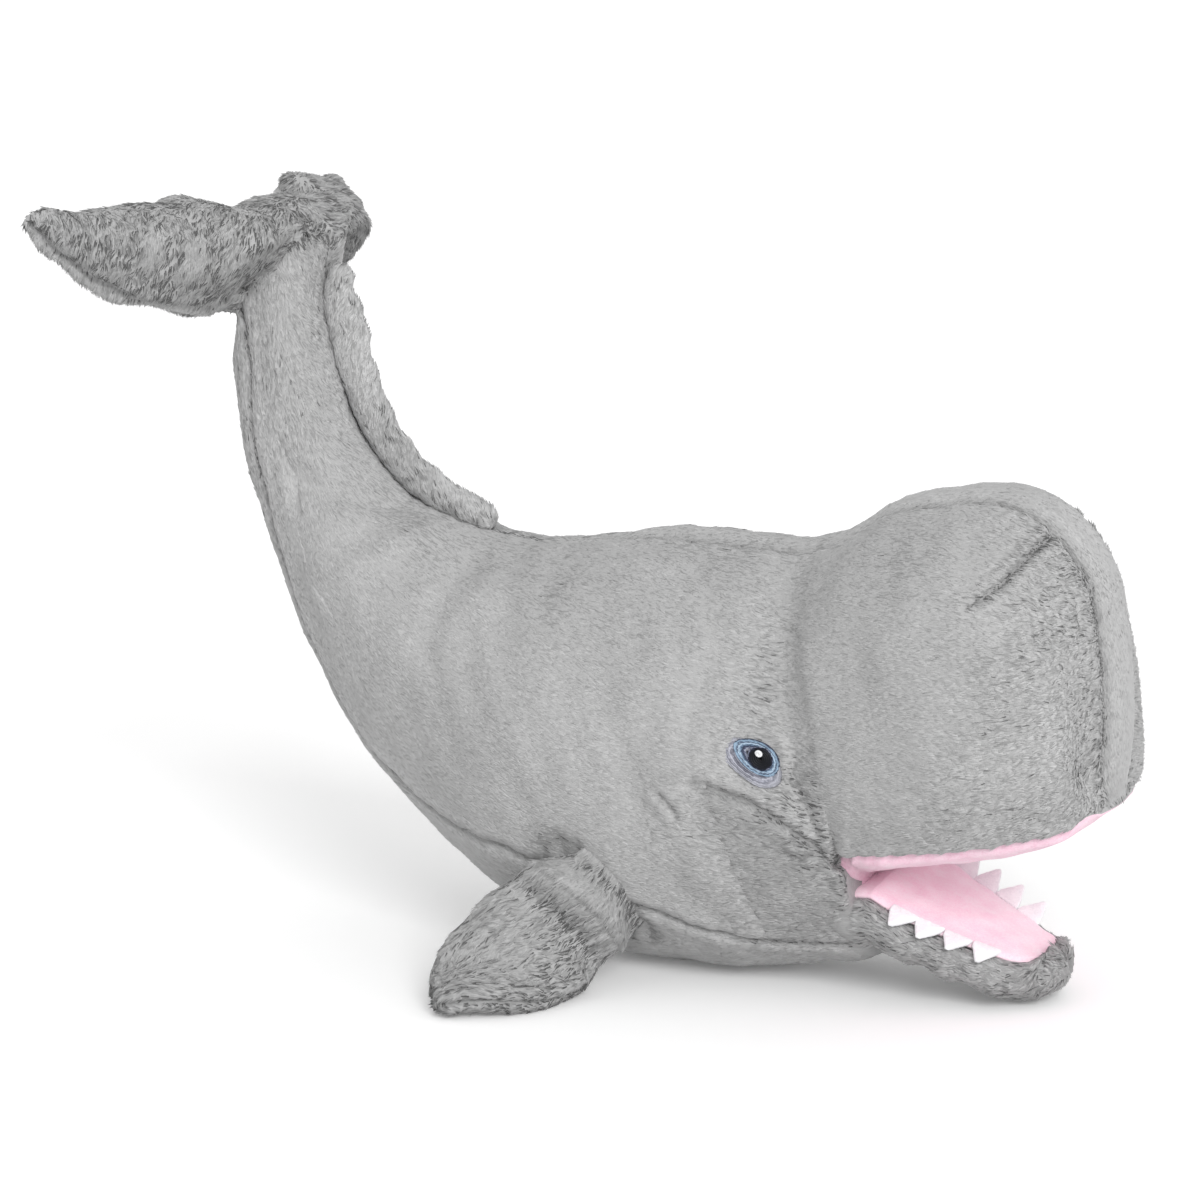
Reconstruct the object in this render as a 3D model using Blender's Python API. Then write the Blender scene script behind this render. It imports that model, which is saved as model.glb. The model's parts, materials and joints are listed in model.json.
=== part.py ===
# Plush sperm whale: sewn panels over fibre filling, with a jaw, two flippers and a fluke
# that bend at their seams. The nose points along +X, the back along +Z, and the toy rests
# on the flat under its belly at Z = 0.

import math

import bmesh
import bpy
import numpy as np
from mathutils import Vector

# Units: one millimetre in metres.
mm = 0.001

# Sizes of the torso, from the end of the tail to the nose.
torso_length = 342 * mm
torso_height = 252 * mm
torso_half_width = 60 * mm
rest_flat_depth = 0.5 * mm

# Cloth and the clearances between sewn pieces.
cloth_thickness = 1.2 * mm
seam_gap = 0.4 * mm
filling_clearance = 0.6 * mm
filling_split = 0.9 * mm
joint_clearance = 0.4 * mm
socket_end_clearance = 1.6 * mm
cutter_overrun = 12 * mm

# Panels of the torso.
head_gusset_half_width = 12.5 * mm
belly_gusset_half_width = 30 * mm

# Ridge along the top of the tail.
ridge_height = 14 * mm
ridge_half_thickness = 4 * mm

# Jaw, measured from its hinge axis at the back of the mouth.
jaw_root_radius = 13 * mm
jaw_length = 60.5 * mm
jaw_half_width = 36 * mm
jaw_drop = 28 * mm

# Felt teeth along each edge of the jaw.
tooth_count = 4
tooth_width = 8.4 * mm
tooth_height = 9 * mm
tooth_thickness = 1.6 * mm
tooth_pitch = 9.3 * mm
tooth_row_start = 14 * mm
tooth_lean = math.radians(12)

# Flippers, measured from their hinge axis on the flank.
flipper_length = 58 * mm
flipper_half_chord = 21.5 * mm
flipper_root_radius = 11 * mm

# Fluke, measured from its hinge axis across the end of the tail.
fluke_half_span = 101 * mm
fluke_root_radius = 19 * mm
fluke_sweep = 40 * mm
fluke_rise = 23 * mm

# Embroidered eyes.
eyelid_outer_radius = 9 * mm
iris_outer_radius = 7.3 * mm
pupil_radius = 4.6 * mm
highlight_radius = 1.1 * mm
highlight_offset = 1.9 * mm
thread_thickness = 0.8 * mm

# Torso stations from lip to tail end. Each is one closed rib: the ends on the back and on
# the belly (x from the tail end as a share of the length, z as a share of the height), the
# half width as a share, and how square the upper and the lower half are.
torso_shares = np.array([
    (0.987, 0.292, 0.984, 0.280, 0.33, 2.0, 2.2),
    (0.991, 0.341, 0.962, 0.250, 0.60, 2.3, 3.0),
    (0.991, 0.452, 0.915, 0.224, 0.78, 2.5, 3.6),
    (0.975, 0.570, 0.863, 0.202, 0.88, 2.5, 3.8),
    (0.932, 0.659, 0.813, 0.186, 0.93, 2.5, 3.8),
    (0.863, 0.694, 0.778, 0.174, 0.94, 2.4, 3.6),
    (0.781, 0.667, 0.757, 0.165, 0.90, 2.4, 3.2),
    (0.705, 0.616, 0.751, 0.153, 0.84, 2.3, 2.8),
    (0.652, 0.595, 0.763, 0.056, 0.84, 2.2, 2.3),
    (0.576, 0.599, 0.699, 0.022, 0.92, 2.2, 2.2),
    (0.474, 0.591, 0.599, -0.002, 1.00, 2.2, 2.1),
    (0.371, 0.575, 0.477, 0.004, 1.00, 2.2, 2.1),
    (0.284, 0.587, 0.360, 0.059, 0.90, 2.2, 2.1),
    (0.219, 0.623, 0.249, 0.167, 0.77, 2.2, 2.2),
    (0.173, 0.686, 0.158, 0.298, 0.63, 2.2, 2.2),
    (0.143, 0.762, 0.094, 0.444, 0.50, 2.2, 2.2),
    (0.126, 0.833, 0.050, 0.583, 0.42, 2.2, 2.2),
    (0.120, 0.901, 0.020, 0.718, 0.37, 2.2, 2.2),
    (0.140, 0.972, 0.003, 0.853, 0.34, 2.2, 2.2),
])

# Half widths of the two gussets at the same stations, as shares of their own half widths.
head_gusset_shares = np.array([
    1.0, 1.0, 1.0, 1.0, 1.04, 1.04, 0.96, 0.8, 0.66, 0.52, 0.34, 0.12,
])
belly_gusset_shares = np.array([
    0.66, 0.66, 0.66, 0.66, 0.66, 0.66, 0.66, 0.66, 0.76, 0.9, 1.0,
    1.0, 0.9, 0.73, 0.56, 0.43, 0.33, 0.27, 0.24,
])

# Seam angles round a rib, in degrees from the back (0) to the belly (180): the edge of the
# grey side above the lip, the edge of the pink palate below it, and the cheek seam that
# climbs from the corner of the mouth.
side_lip_degrees = np.array([74, 118, 132, 138, 141, 141, 141, 139])
palate_lip_degrees = np.array([106, 124, 132, 138, 141, 141, 141, 139])
cheek_degrees = np.array([139, 121, 109, 100, 93])
least_gusset_degrees = 4

# Stations where the panels and the fillings start and stop.
palate_start_station = 0.3
filling_start_station = 0.65
palate_end_station = 6.9
mouth_corner_station = 7.0
cheek_back_station = 9.2
gusset_end_station = 10.85
ridge_start_station = 12.0
tail_root_station = 13.0
filling_end_station = 17.3
ridge_end_station = 17.3
tail_end_station = 18.0

# Ribs that every panel and filling of the torso bends at, besides the stations above.
between_stations = np.array([
    1, 1.5, 2, 2.75, 3.5, 4.25, 5, 5.75, 6.4, 7.5, 8, 8.6, 10, 11.5, 12.5, 13.8, 14.7, 15.6, 16.5,
])
rib_stations = np.union1d(between_stations, [
    palate_start_station, filling_start_station, palate_end_station, mouth_corner_station,
    cheek_back_station, gusset_end_station, ridge_start_station, tail_root_station,
    filling_end_station,
])

# Where the limbs and the eyes sit on the torso: jaw and fluke hinges as shares of length
# and height, flipper hinge and eye by station and angle round the rib.
jaw_hinge_shares = (0.760, 0.119)
fluke_hinge_shares = (0.067, 0.940)
flipper_station = 10.7
flipper_angle = math.radians(121.5)
eye_station = 8.5
eye_angle = math.radians(86)

# Jaw stations forward of the hinge: x along the length, top and bottom as shares of the
# drop, half width as a share.
jaw_shares = np.array([
    (0.23, 0.25, -0.63, 0.97),
    (0.50, 0.01, -0.82, 0.84),
    (0.73, -0.20, -0.96, 0.68),
    (0.87, -0.33, -0.96, 0.53),
    (0.96, -0.44, -0.87, 0.35),
    (1.00, -0.54, -0.76, 0.20),
])
jaw_squareness = 2.6
jaw_lip_angle = math.radians(56)

# Flipper stations past the hinge: middle of the chord as shares of the length, direction of
# the chord, half chord and half thickness as shares of their root values.
flipper_shares = np.array([
    (-0.19, -0.24, -0.23, 0.72, 0.18, -0.67, 1.05, 0.70),
    (-0.33, -0.47, -0.36, 0.88, -0.12, -0.40, 1.02, 0.62),
    (-0.41, -0.68, -0.43, 0.95, -0.24, -0.16, 0.82, 0.52),
    (-0.46, -0.81, -0.45, 0.97, -0.22, -0.06, 0.54, 0.42),
    (-0.48, -0.87, -0.46, 0.97, -0.22, -0.04, 0.30, 0.33),
])
flipper_axis_share = (0.556, 0.40, -0.733)
limb_squareness = 2.6
fluke_squareness = 2.0

# Fluke stations from the middle to the tip: y as a share of the half span, edge of the
# section as shares of the sweep and the rise, half chord and the depths in front of and
# behind the edge as shares of the root radius.
fluke_shares = np.array([
    (0.11, 0.00, 0.00, 1.00, 1.00, 1.00),
    (0.22, 0.00, 0.00, 1.00, 1.00, 1.00),
    (0.28, -0.26, 0.11, 1.08, 1.48, 0.72),
    (0.36, -0.50, 0.20, 1.08, 1.86, 0.34),
    (0.50, -0.64, 0.28, 0.96, 1.38, 0.28),
    (0.65, -0.76, 0.36, 0.78, 0.92, 0.26),
    (0.80, -0.86, 0.54, 0.58, 0.58, 0.24),
    (0.91, -0.93, 0.78, 0.44, 0.38, 0.22),
    (0.97, -0.97, 0.92, 0.30, 0.26, 0.18),
    (1.00, -0.99, 0.97, 0.18, 0.15, 0.13),
])

# Ridge height along its run, as shares of the full height.
ridge_shares = np.array([0.30, 0.80, 1.00, 1.00, 0.96, 0.92, 0.84, 0.50])

# Root stations that round a limb about its hinge, in degrees from the back of the root.
jaw_root_degrees = np.array([20.0, 45.0, 68.0, 90.0, 106.0])
flipper_root_degrees = np.array([20.0, 45.0, 68.0, 90.0, 112.0, 134.0])

# Counts of rows and columns in the panels and fillings.
side_columns = 6
flank_columns = 3
gusset_columns = 4
belly_columns = 5
palate_columns = 4
cover_columns = 8
ridge_columns = 8
limb_columns = 4
fluke_columns = 5
eye_sides = 14


def spline(rows, station):
    # Catmull-Rom curve through the rows, straight on past both ends.
    rows = np.asarray(rows, float)
    if rows.ndim == 1:
        return spline(rows[:, None], station)[..., 0]
    last = len(rows) - 1
    station = np.clip(np.asarray(station, float), 0, last)
    start = np.minimum(station.astype(int), last - 1)
    part = (station - start)[..., None]
    before = np.where((start == 0)[..., None], 2 * rows[0] - rows[1], rows[np.maximum(start - 1, 0)])
    after = np.where(
        (start == last - 1)[..., None],
        2 * rows[last] - rows[last - 1],
        rows[np.minimum(start + 2, last)],
    )
    here, there = rows[start], rows[start + 1]
    cubic = -before + 3 * here - 3 * there + after
    square = 2 * before - 5 * here + 4 * there - after
    return 0.5 * (2 * here + (there - before) * part + square * part**2 + cubic * part**3)


def unit(vector):
    vector = np.asarray(vector, float)
    return vector / np.linalg.norm(vector, axis=-1, keepdims=True)


def signed_power(value, power):
    return np.sign(value) * np.abs(value) ** power


class Form:
    # A closed form of rings. The point function gives a place from a station along the form
    # and an angle round it, and everything sewn from the form reads the same surface.

    def __init__(self, point, last):
        self.point = point
        self.last = last
        self.facing = 1
        flank = self.normal(last / 2, math.pi / 2)
        across = point(last / 2, math.pi / 2) - point(last / 2, -math.pi / 2)
        self.facing = math.copysign(1, float((flank * across).sum()))

    def normal(self, station, angle):
        step = 0.02
        along = self.point(np.minimum(station + step, self.last), angle)
        along = along - self.point(np.maximum(station - step, 0), angle)
        around = self.point(station, angle + step) - self.point(station, angle - step)
        return unit(np.cross(along, around) * self.facing)

    def inset(self, station, angle, depth):
        station, angle = np.broadcast_arrays(np.asarray(station, float), np.asarray(angle, float))
        return self.point(station, angle) - self.normal(station, angle) * depth

    def seam_shift(self, station, edge):
        # Angle round the rib that leaves half a gap square to a seam, which may run slantwise.
        step = 0.02
        before, after = max(station - step, 0), min(station + step, self.last)
        run = unit(self.point(after, edge(after)) - self.point(before, edge(before)))
        across = self.point(station, edge(station) + step)
        across = (across - self.point(station, edge(station) - step)) / (2 * step)
        return seam_gap / 2 / float(np.linalg.norm(np.cross(run, across)))

    def between_seams(self, station, first_edge, last_edge, columns):
        # Angles from one seam to the next, each end drawn back by half a seam gap.
        first = first_edge(station) + self.seam_shift(station, first_edge)
        last = last_edge(station) - self.seam_shift(station, last_edge)
        return np.linspace(first, last, columns + 1)

    def panel(self, stations, first_edge, last_edge, columns):
        # Cloth between two seams, from its rows of angles.
        rows = [
            self.between_seams(station, first_edge, last_edge, columns) for station in stations
        ]
        return self.sheet(stations, rows)

    def sheet(self, stations, rows, kept=None):
        outer = [self.inset(station, row, 0) for station, row in zip(stations, rows)]
        inner = [self.inset(station, row, cloth_thickness) for station, row in zip(stations, rows)]
        return slab(np.array(outer), np.array(inner), falling(rows), kept)

    def filling(self, stations, ring, depth=cloth_thickness + filling_clearance):
        # Solid inside the cloth, through the same rows and columns as the panels over it.
        turns = [np.append(ring(station), ring(station)[0] + 2 * math.pi) for station in stations]
        rings = [self.inset(station, ring(station), depth) for station in stations]
        return tube(rings, falling(turns))


def falling(rows):
    # Which cells of a grid of angles lie on the right side. There a cell's diagonal falls
    # with the angle and on the left it climbs, so that cloth and filling bend alike.
    rows = np.array(rows)
    return np.sin((rows[:-1, :-1] + rows[1:, 1:]) / 2) >= 0


def split(ring, falls):
    # Two triangles from the four corners of a cell.
    first, second, third, fourth = ring
    if falls:
        return [[first, second, third], [first, third, fourth]]
    return [[first, second, fourth], [second, third, fourth]]


def slab(outer, inner, falls, kept=None):
    # Closed sheet between two grids of points. Cells that are not kept are left out.
    rows, columns = outer.shape[:2]
    points = np.concatenate([outer.reshape(-1, 3), inner.reshape(-1, 3)])
    size = rows * columns
    faces, rim = [], {}
    for row in range(rows - 1):
        for column in range(columns - 1):
            if kept is not None and not kept(row, column):
                continue
            corner = row * columns + column
            ring = [corner, corner + 1, corner + columns + 1, corner + columns]
            for triangle in split(ring, falls[row, column]):
                faces.append(triangle)
                faces.append([size + index for index in reversed(triangle)])
            for here, there in zip(ring, ring[1:] + ring[:1]):
                if rim.pop((there, here), None) is None:
                    rim[(here, there)] = True
    for here, there in rim:
        faces += split([there, here, size + here, size + there], there < here)
    return points, faces


def tube(rings, falls=None):
    # Closed solid through rings of points, with a point in the middle of each end.
    rings = np.array(rings)
    count, sides = rings.shape[:2]
    points = np.concatenate([rings.reshape(-1, 3), rings[:1].mean(axis=1), rings[-1:].mean(axis=1)])
    faces = []
    for ring in range(count - 1):
        for side in range(sides):
            after = (side + 1) % sides
            corner = ring * sides
            cell = [corner + side, corner + after, corner + sides + after, corner + sides + side]
            faces += split(cell, falls is None or falls[ring, side])
    for side in range(sides):
        after = (side + 1) % sides
        faces.append([count * sides, after, side])
        last = (count - 1) * sides
        faces.append([count * sides + 1, last + side, last + after])
    return points, faces


def mirrored(shape):
    points, faces = shape
    return points * (1, -1, 1), faces


# Collections, materials and objects.

toy = bpy.data.collections.new("plush_whale")
cutters = bpy.data.collections.new("plush_whale_cutters")


def start_scene():
    for thing in list(bpy.data.objects):
        bpy.data.objects.remove(thing, do_unlink=True)
    bpy.context.scene.collection.children.link(toy)
    bpy.context.scene.collection.children.link(cutters)


def make_material(name, color, roughness):
    material = bpy.data.materials.new(name)
    material.use_nodes = True
    shader = material.node_tree.nodes["Principled BSDF"]
    shader.inputs["Base Color"].default_value = (*color, 1)
    shader.inputs["Roughness"].default_value = roughness
    shader.inputs["Metallic"].default_value = 0
    return material


def make_pivot(name, place, parent=None):
    pivot = bpy.data.objects.new(name, None)
    toy.objects.link(pivot)
    pivot.parent = parent
    pivot.location = place
    return pivot


def make_piece(name, shape, color, roughness, pivot):
    # The points come in the toy's frame and are kept relative to the pivot.
    points, faces = shape
    mesh = bpy.data.meshes.new(name)
    mesh.from_pydata([tuple(point) for point in points - np.array(pivot.location)], [], faces)
    work = bmesh.new()
    work.from_mesh(mesh)
    loose = [point for point in work.verts if not point.link_faces]
    bmesh.ops.delete(work, geom=loose, context="VERTS")
    bmesh.ops.recalc_face_normals(work, faces=work.faces)
    if work.calc_volume(signed=True) < 0:
        bmesh.ops.reverse_faces(work, faces=work.faces)
    work.to_mesh(mesh)
    work.free()
    mesh.shade_smooth()
    piece = bpy.data.objects.new(name, mesh)
    toy.objects.link(piece)
    piece.parent = pivot
    mesh.materials.append(make_material(name, color, roughness))
    return piece


def make_cutter(piece_maker, name, parent):
    piece_maker()
    cutter = bpy.context.object
    cutter.name = name
    cutter.display_type = "WIRE"
    cutter.hide_render = True
    for home in list(cutter.users_collection):
        home.objects.unlink(cutter)
    cutters.objects.link(cutter)
    cutter.parent = parent
    return cutter


def make_round_cutter(name, center, axis, radius, half_length, parent):
    spin = blender_vector(axis).to_track_quat("Z", "Y").to_euler()

    def maker():
        bpy.ops.mesh.primitive_cylinder_add(
            vertices=32,
            radius=radius,
            depth=2 * half_length,
            location=center,
            rotation=spin,
        )

    return make_cutter(maker, name, parent)


def blender_vector(values):
    return Vector(tuple(float(value) for value in values))


def cut(piece, cutter):
    modifier = piece.modifiers.new(cutter.name, "BOOLEAN")
    modifier.operation = "DIFFERENCE"
    modifier.object = cutter


gray_plush = (0.42, 0.42, 0.43)
dark_plush = (0.38, 0.38, 0.39)
pink_fleece = (0.90, 0.60, 0.72)
white_felt = (0.84, 0.83, 0.86)
white_fibre = (0.86, 0.86, 0.84)
lilac_thread = (0.52, 0.52, 0.58)
blue_thread = (0.36, 0.48, 0.66)
black_thread = (0.01, 0.01, 0.015)
white_thread = (0.9, 0.9, 0.9)


# Torso surface and its seams.


def torso_station(station):
    rib = spline(torso_shares, station)
    back = np.stack([rib[..., 0] * torso_length, rib[..., 1] * torso_height], -1)
    belly = np.stack([rib[..., 2] * torso_length, rib[..., 3] * torso_height], -1)
    return back, belly, rib[..., 4] * torso_half_width, rib[..., 5], rib[..., 6]


def torso_point(station, angle):
    # Angles from 0 to pi run from back to belly down the right side, at negative Y.
    station, angle = np.broadcast_arrays(np.asarray(station, float), np.asarray(angle, float))
    back, belly, half_width, upper, lower = torso_station(station)
    rise, reach = np.cos(angle), np.sin(angle)
    power = 2 / np.where(rise >= 0, upper, lower)
    spine = (back + belly) / 2 + (back - belly) / 2 * signed_power(rise, power)[..., None]
    return np.stack([spine[..., 0], -half_width * signed_power(reach, power), spine[..., 1]], -1)


torso = Form(torso_point, tail_end_station)


def head_seam(station):
    half_width = float(spline(head_gusset_shares, station)) * head_gusset_half_width
    rib = spline(torso_shares, station)
    return math.asin(min(1, half_width / (rib[4] * torso_half_width)) ** (rib[5] / 2))


def belly_seam(station):
    half_width = float(spline(belly_gusset_shares, station)) * belly_gusset_half_width
    rib = spline(torso_shares, station)
    return math.pi - math.asin(min(1, half_width / (rib[4] * torso_half_width)) ** (rib[6] / 2))


def side_lip(station):
    return math.radians(float(spline(side_lip_degrees, station)))


def palate_lip(station):
    return math.radians(float(spline(palate_lip_degrees, station)))


def cheek_seam(station):
    share = (station - mouth_corner_station) / (cheek_back_station - mouth_corner_station)
    return math.radians(float(spline(cheek_degrees, share * (len(cheek_degrees) - 1))))


def side_top(station):
    # Upper edge of the side panel: along the head gusset, then along the middle of the back.
    return head_seam(station) if station <= gusset_end_station else 0


def side_middle(station):
    # Lower edge of the side panel as far as the cheek, and a line along the flank behind it.
    if station <= mouth_corner_station:
        return side_lip(station)
    return cheek_seam(min(station, cheek_back_station))


def ribs(first, last):
    # Stations of a piece that runs from the first to the last.
    inner = rib_stations[(rib_stations > first) & (rib_stations < last)]
    return np.concatenate([[first], inner, [last]])


def station_step(station, distance, angle):
    # Share of a station that covers a distance along the surface at one angle.
    step = 0.05
    here = torso_point(station - step, angle)
    there = torso_point(station + step, angle)
    return distance * 2 * step / float(np.linalg.norm(there - here))


def make_torso(pivot):
    cheek_gap = station_step(cheek_back_station, seam_gap, math.radians(120))
    gusset_gap = station_step(gusset_end_station, seam_gap, 0)
    side_stations = np.union1d(
        ribs(0, tail_end_station),
        [cheek_back_station + cheek_gap, gusset_end_station + gusset_gap],
    )
    side_rows = []
    for station in side_stations:
        above = torso.between_seams(station, side_top, side_middle, side_columns)
        if station > cheek_back_station:
            above = np.linspace(above[0], side_middle(station), side_columns + 1)
        below = torso.between_seams(station, side_middle, belly_seam, flank_columns)
        side_rows.append(np.concatenate([above, below[1:]]))
    side = torso.sheet(
        side_stations,
        side_rows,
        lambda row, column: column < side_columns or side_stations[row] > cheek_back_station,
    )
    make_piece("side_panel_right", side, gray_plush, 0.95, pivot)
    make_piece("side_panel_left", mirrored(side), gray_plush, 0.95, pivot)

    cheek_stations = ribs(mouth_corner_station, cheek_back_station - cheek_gap)
    cheek = torso.panel(cheek_stations, cheek_seam, belly_seam, flank_columns)
    make_piece("cheek_panel_right", cheek, dark_plush, 0.95, pivot)
    make_piece("cheek_panel_left", mirrored(cheek), dark_plush, 0.95, pivot)

    gusset = torso.panel(
        ribs(0, gusset_end_station - gusset_gap),
        lambda station: -head_seam(station),
        head_seam,
        gusset_columns,
    )
    make_piece("head_gusset", gusset, gray_plush, 0.95, pivot)

    belly = torso.panel(
        ribs(mouth_corner_station, tail_end_station),
        belly_seam,
        lambda station: 2 * math.pi - belly_seam(station),
        belly_columns,
    )
    make_piece("belly_gusset", belly, gray_plush, 0.95, pivot)

    palate = torso.panel(
        ribs(palate_start_station, palate_end_station),
        palate_lip,
        lambda station: 2 * math.pi - palate_lip(station),
        palate_columns,
    )
    make_piece("palate_lining", palate, pink_fleece, 0.9, pivot)
    return belly


def torso_ring(station):
    # Angles round a filling: down the right side, across the mouth or belly, up the left.
    upper = max(side_top(station), math.radians(least_gusset_degrees))
    right = np.linspace(upper, side_middle(station), side_columns + 1)
    columns = palate_columns
    if station >= mouth_corner_station:
        below = np.linspace(right[-1], belly_seam(station), flank_columns + 1)
        right = np.concatenate([right, below[1:]])
        columns = belly_columns
    across = np.linspace(right[-1], 2 * math.pi - right[-1], columns + 1)
    return np.concatenate([right, across[1:-1], 2 * math.pi - right[::-1]])


def make_fillings(pivot):
    # One mass of fibre in the real toy, parted at the neck and at the tail root.
    tail_start = tail_root_station + station_step(tail_root_station, filling_split, 0)
    parts = [
        ("head_filling", filling_start_station, palate_end_station),
        ("body_filling", mouth_corner_station, tail_root_station),
        ("tail_filling", tail_start, filling_end_station),
    ]
    for name, first, last in parts:
        make_piece(name, torso.filling(ribs(first, last), torso_ring), white_fibre, 1, pivot)


def make_ridge(pivot):
    last = len(ridge_shares) - 1

    def ridge_point(station, angle):
        station, angle = np.broadcast_arrays(np.asarray(station, float), np.asarray(angle, float))
        along = ridge_start_station + (ridge_end_station - ridge_start_station) * station / last
        height = spline(ridge_shares, station)[..., None] * ridge_height / 2
        outward = torso.normal(along, np.zeros_like(along))
        base = torso.point(along, np.zeros_like(along)) + outward * seam_gap
        up = outward * height * (1 + signed_power(np.cos(angle), 2 / limb_squareness))[..., None]
        across = np.zeros_like(base)
        across[..., 1] = -ridge_half_thickness * signed_power(np.sin(angle), 2 / limb_squareness)
        return base + up + across

    ridge = Form(ridge_point, last)
    run = ribs(ridge_start_station, ridge_end_station)
    stations = (run - ridge_start_station) / (ridge_end_station - ridge_start_station) * last
    turns = np.linspace(0, 2 * math.pi, ridge_columns, endpoint=False)
    ridge_shape = ridge.filling(stations, lambda station: turns, 0)
    make_piece("dorsal_ridge", ridge_shape, gray_plush, 0.95, pivot)


def make_eye(name, side, pivot):
    # Rings of satin stitch laid on the flank, each as a disc or a ring of thread.
    here = torso_point(eye_station, eye_angle)
    step = 0.02
    along = (torso_point(eye_station + step, eye_angle) - here) / step
    around = (torso_point(eye_station, eye_angle + step) - here) / step
    forward = -unit(along)
    downward = unit(around - forward * (around * forward).sum())
    turn = np.array([[(along * forward).sum(), (around * forward).sum()],
                     [(along * downward).sum(), (around * downward).sum()]])
    back = np.linalg.inv(turn)

    def stitched(inner_radius, outer_radius, lift, shift=0):
        angles = np.linspace(0, 2 * math.pi, eye_sides, endpoint=False)
        rings = []
        layers = [(outer_radius, 0), (outer_radius, 1), (inner_radius, 1), (inner_radius, 0)]
        for radius, layer in layers:
            places = np.stack([radius * np.cos(angles) + shift, radius * np.sin(angles) - shift])
            moves = back @ places
            stations, turns = eye_station + moves[0], eye_angle + moves[1]
            depth = -(lift + layer * thread_thickness)
            rings.append(torso.inset(stations, turns, depth))
        if inner_radius > 0:
            return ring_solid(rings)
        return tube([rings[0], rings[1]])

    def place(part, shape, color):
        made = shape if side < 0 else mirrored(shape)
        make_piece(f"{part}_{name}", made, color, 0.5, pivot)

    gap = seam_gap
    place("eyelid", stitched(iris_outer_radius + gap, eyelid_outer_radius, gap), lilac_thread)
    place("iris", stitched(pupil_radius + gap, iris_outer_radius, gap), blue_thread)
    place("pupil", stitched(0, pupil_radius, gap), black_thread)
    raised = 2 * gap + thread_thickness
    shift = highlight_offset / math.sqrt(2)
    place("highlight", stitched(0, highlight_radius, raised, shift), white_thread)


def ring_solid(rings):
    # Closed ring whose section is the quadrilateral of the four loops of points.
    rings = np.array(rings)
    count, sides = rings.shape[:2]
    faces = []
    for ring in range(count):
        for side in range(sides):
            after = (side + 1) % sides
            beyond = (ring + 1) % count
            faces.append([
                ring * sides + side,
                ring * sides + after,
                beyond * sides + after,
                beyond * sides + side,
            ])
    return rings.reshape(-1, 3), faces


# Jaw.


def jaw_hinge():
    return np.array([jaw_hinge_shares[0] * torso_length, 0, jaw_hinge_shares[1] * torso_height])


def jaw_rows():
    rows = []
    for degrees in jaw_root_degrees:
        turn = math.radians(degrees)
        height = jaw_root_radius * math.sin(turn)
        rows.append((-jaw_root_radius * math.cos(turn), height, -height, jaw_half_width))
    for along, top, bottom, width in jaw_shares:
        rows.append((along * jaw_length, top * jaw_drop, bottom * jaw_drop, width * jaw_half_width))
    return np.array(rows)


def make_jaw(root):
    hinge = jaw_hinge()
    pivot = make_pivot("jaw_hinge", hinge, root)
    rows = jaw_rows()
    last = len(rows) - 1

    def jaw_point(station, angle):
        station, angle = np.broadcast_arrays(np.asarray(station, float), np.asarray(angle, float))
        along, top, bottom, half_width = np.moveaxis(spline(rows, station), -1, 0)
        rise = signed_power(np.cos(angle), 2 / jaw_squareness)
        reach = signed_power(np.sin(angle), 2 / jaw_squareness)
        height = (top + bottom) / 2 + (top - bottom) / 2 * rise
        return hinge + np.stack([along, -half_width * reach, height], -1)

    jaw = Form(jaw_point, last)
    stations = np.arange(last + 1)
    round_end = 2 * math.pi - jaw_lip_angle
    lining = jaw.panel(stations, lambda s: -jaw_lip_angle, lambda s: jaw_lip_angle, gusset_columns)
    make_piece("jaw_lining", lining, pink_fleece, 0.9, pivot)
    cover = jaw.panel(stations, lambda s: jaw_lip_angle, lambda s: round_end, cover_columns)
    make_piece("jaw_cover", cover, gray_plush, 0.95, pivot)
    ring = np.concatenate([
        np.linspace(-jaw_lip_angle, jaw_lip_angle, gusset_columns, endpoint=False),
        np.linspace(jaw_lip_angle, round_end, cover_columns, endpoint=False),
    ])
    jaw_inside = jaw.filling(stations[1:-1], lambda station: ring)
    make_piece("jaw_filling", jaw_inside, white_fibre, 1, pivot)
    make_teeth(jaw, rows, pivot)
    return pivot


def make_teeth(jaw, rows, pivot):
    # Felt triangles in a row along each side, their bases on the edge between lining and cover.
    outline_shares = [(-0.5, 0), (0.5, 0), (0.36, 0.45), (0.1, 0.97), (-0.1, 0.97), (-0.36, 0.45)]
    for number in range(tooth_count):
        place = tooth_row_start + number * tooth_pitch
        station = float(np.interp(place, rows[:, 0], np.arange(len(rows))))
        here = jaw.point(np.float64(station), jaw_lip_angle)
        ahead = jaw.point(np.float64(station + 0.05), jaw_lip_angle)
        behind = jaw.point(np.float64(station - 0.05), jaw_lip_angle)
        along = unit(ahead - behind)
        outward = unit(np.array([along[1], -along[0], 0]))
        upward = np.cross(along, outward)
        upward = upward * np.sign(upward[2])
        reach = outward * math.cos(tooth_lean) + upward * math.sin(tooth_lean)
        face = np.cross(along, reach) * tooth_thickness / 2
        normal = jaw.normal(np.array([station]), np.array([jaw_lip_angle]))[0]
        base = here + normal * (seam_gap + tooth_thickness / 2)
        outline = np.array([
            base + along * x * tooth_width + reach * y * tooth_height for x, y in outline_shares
        ])
        tooth = tube([outline + face, outline - face])
        make_piece(f"tooth_right_{number + 1}", tooth, white_felt, 0.9, pivot)
        make_piece(f"tooth_left_{number + 1}", mirrored(tooth), white_felt, 0.9, pivot)


# Flippers.


def flipper_hinge(side):
    return torso_point(flipper_station, flipper_angle) * (1, -side, 1)


def flipper_axis(side):
    return unit(flipper_axis_share) * (1, -side, 1)


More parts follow.
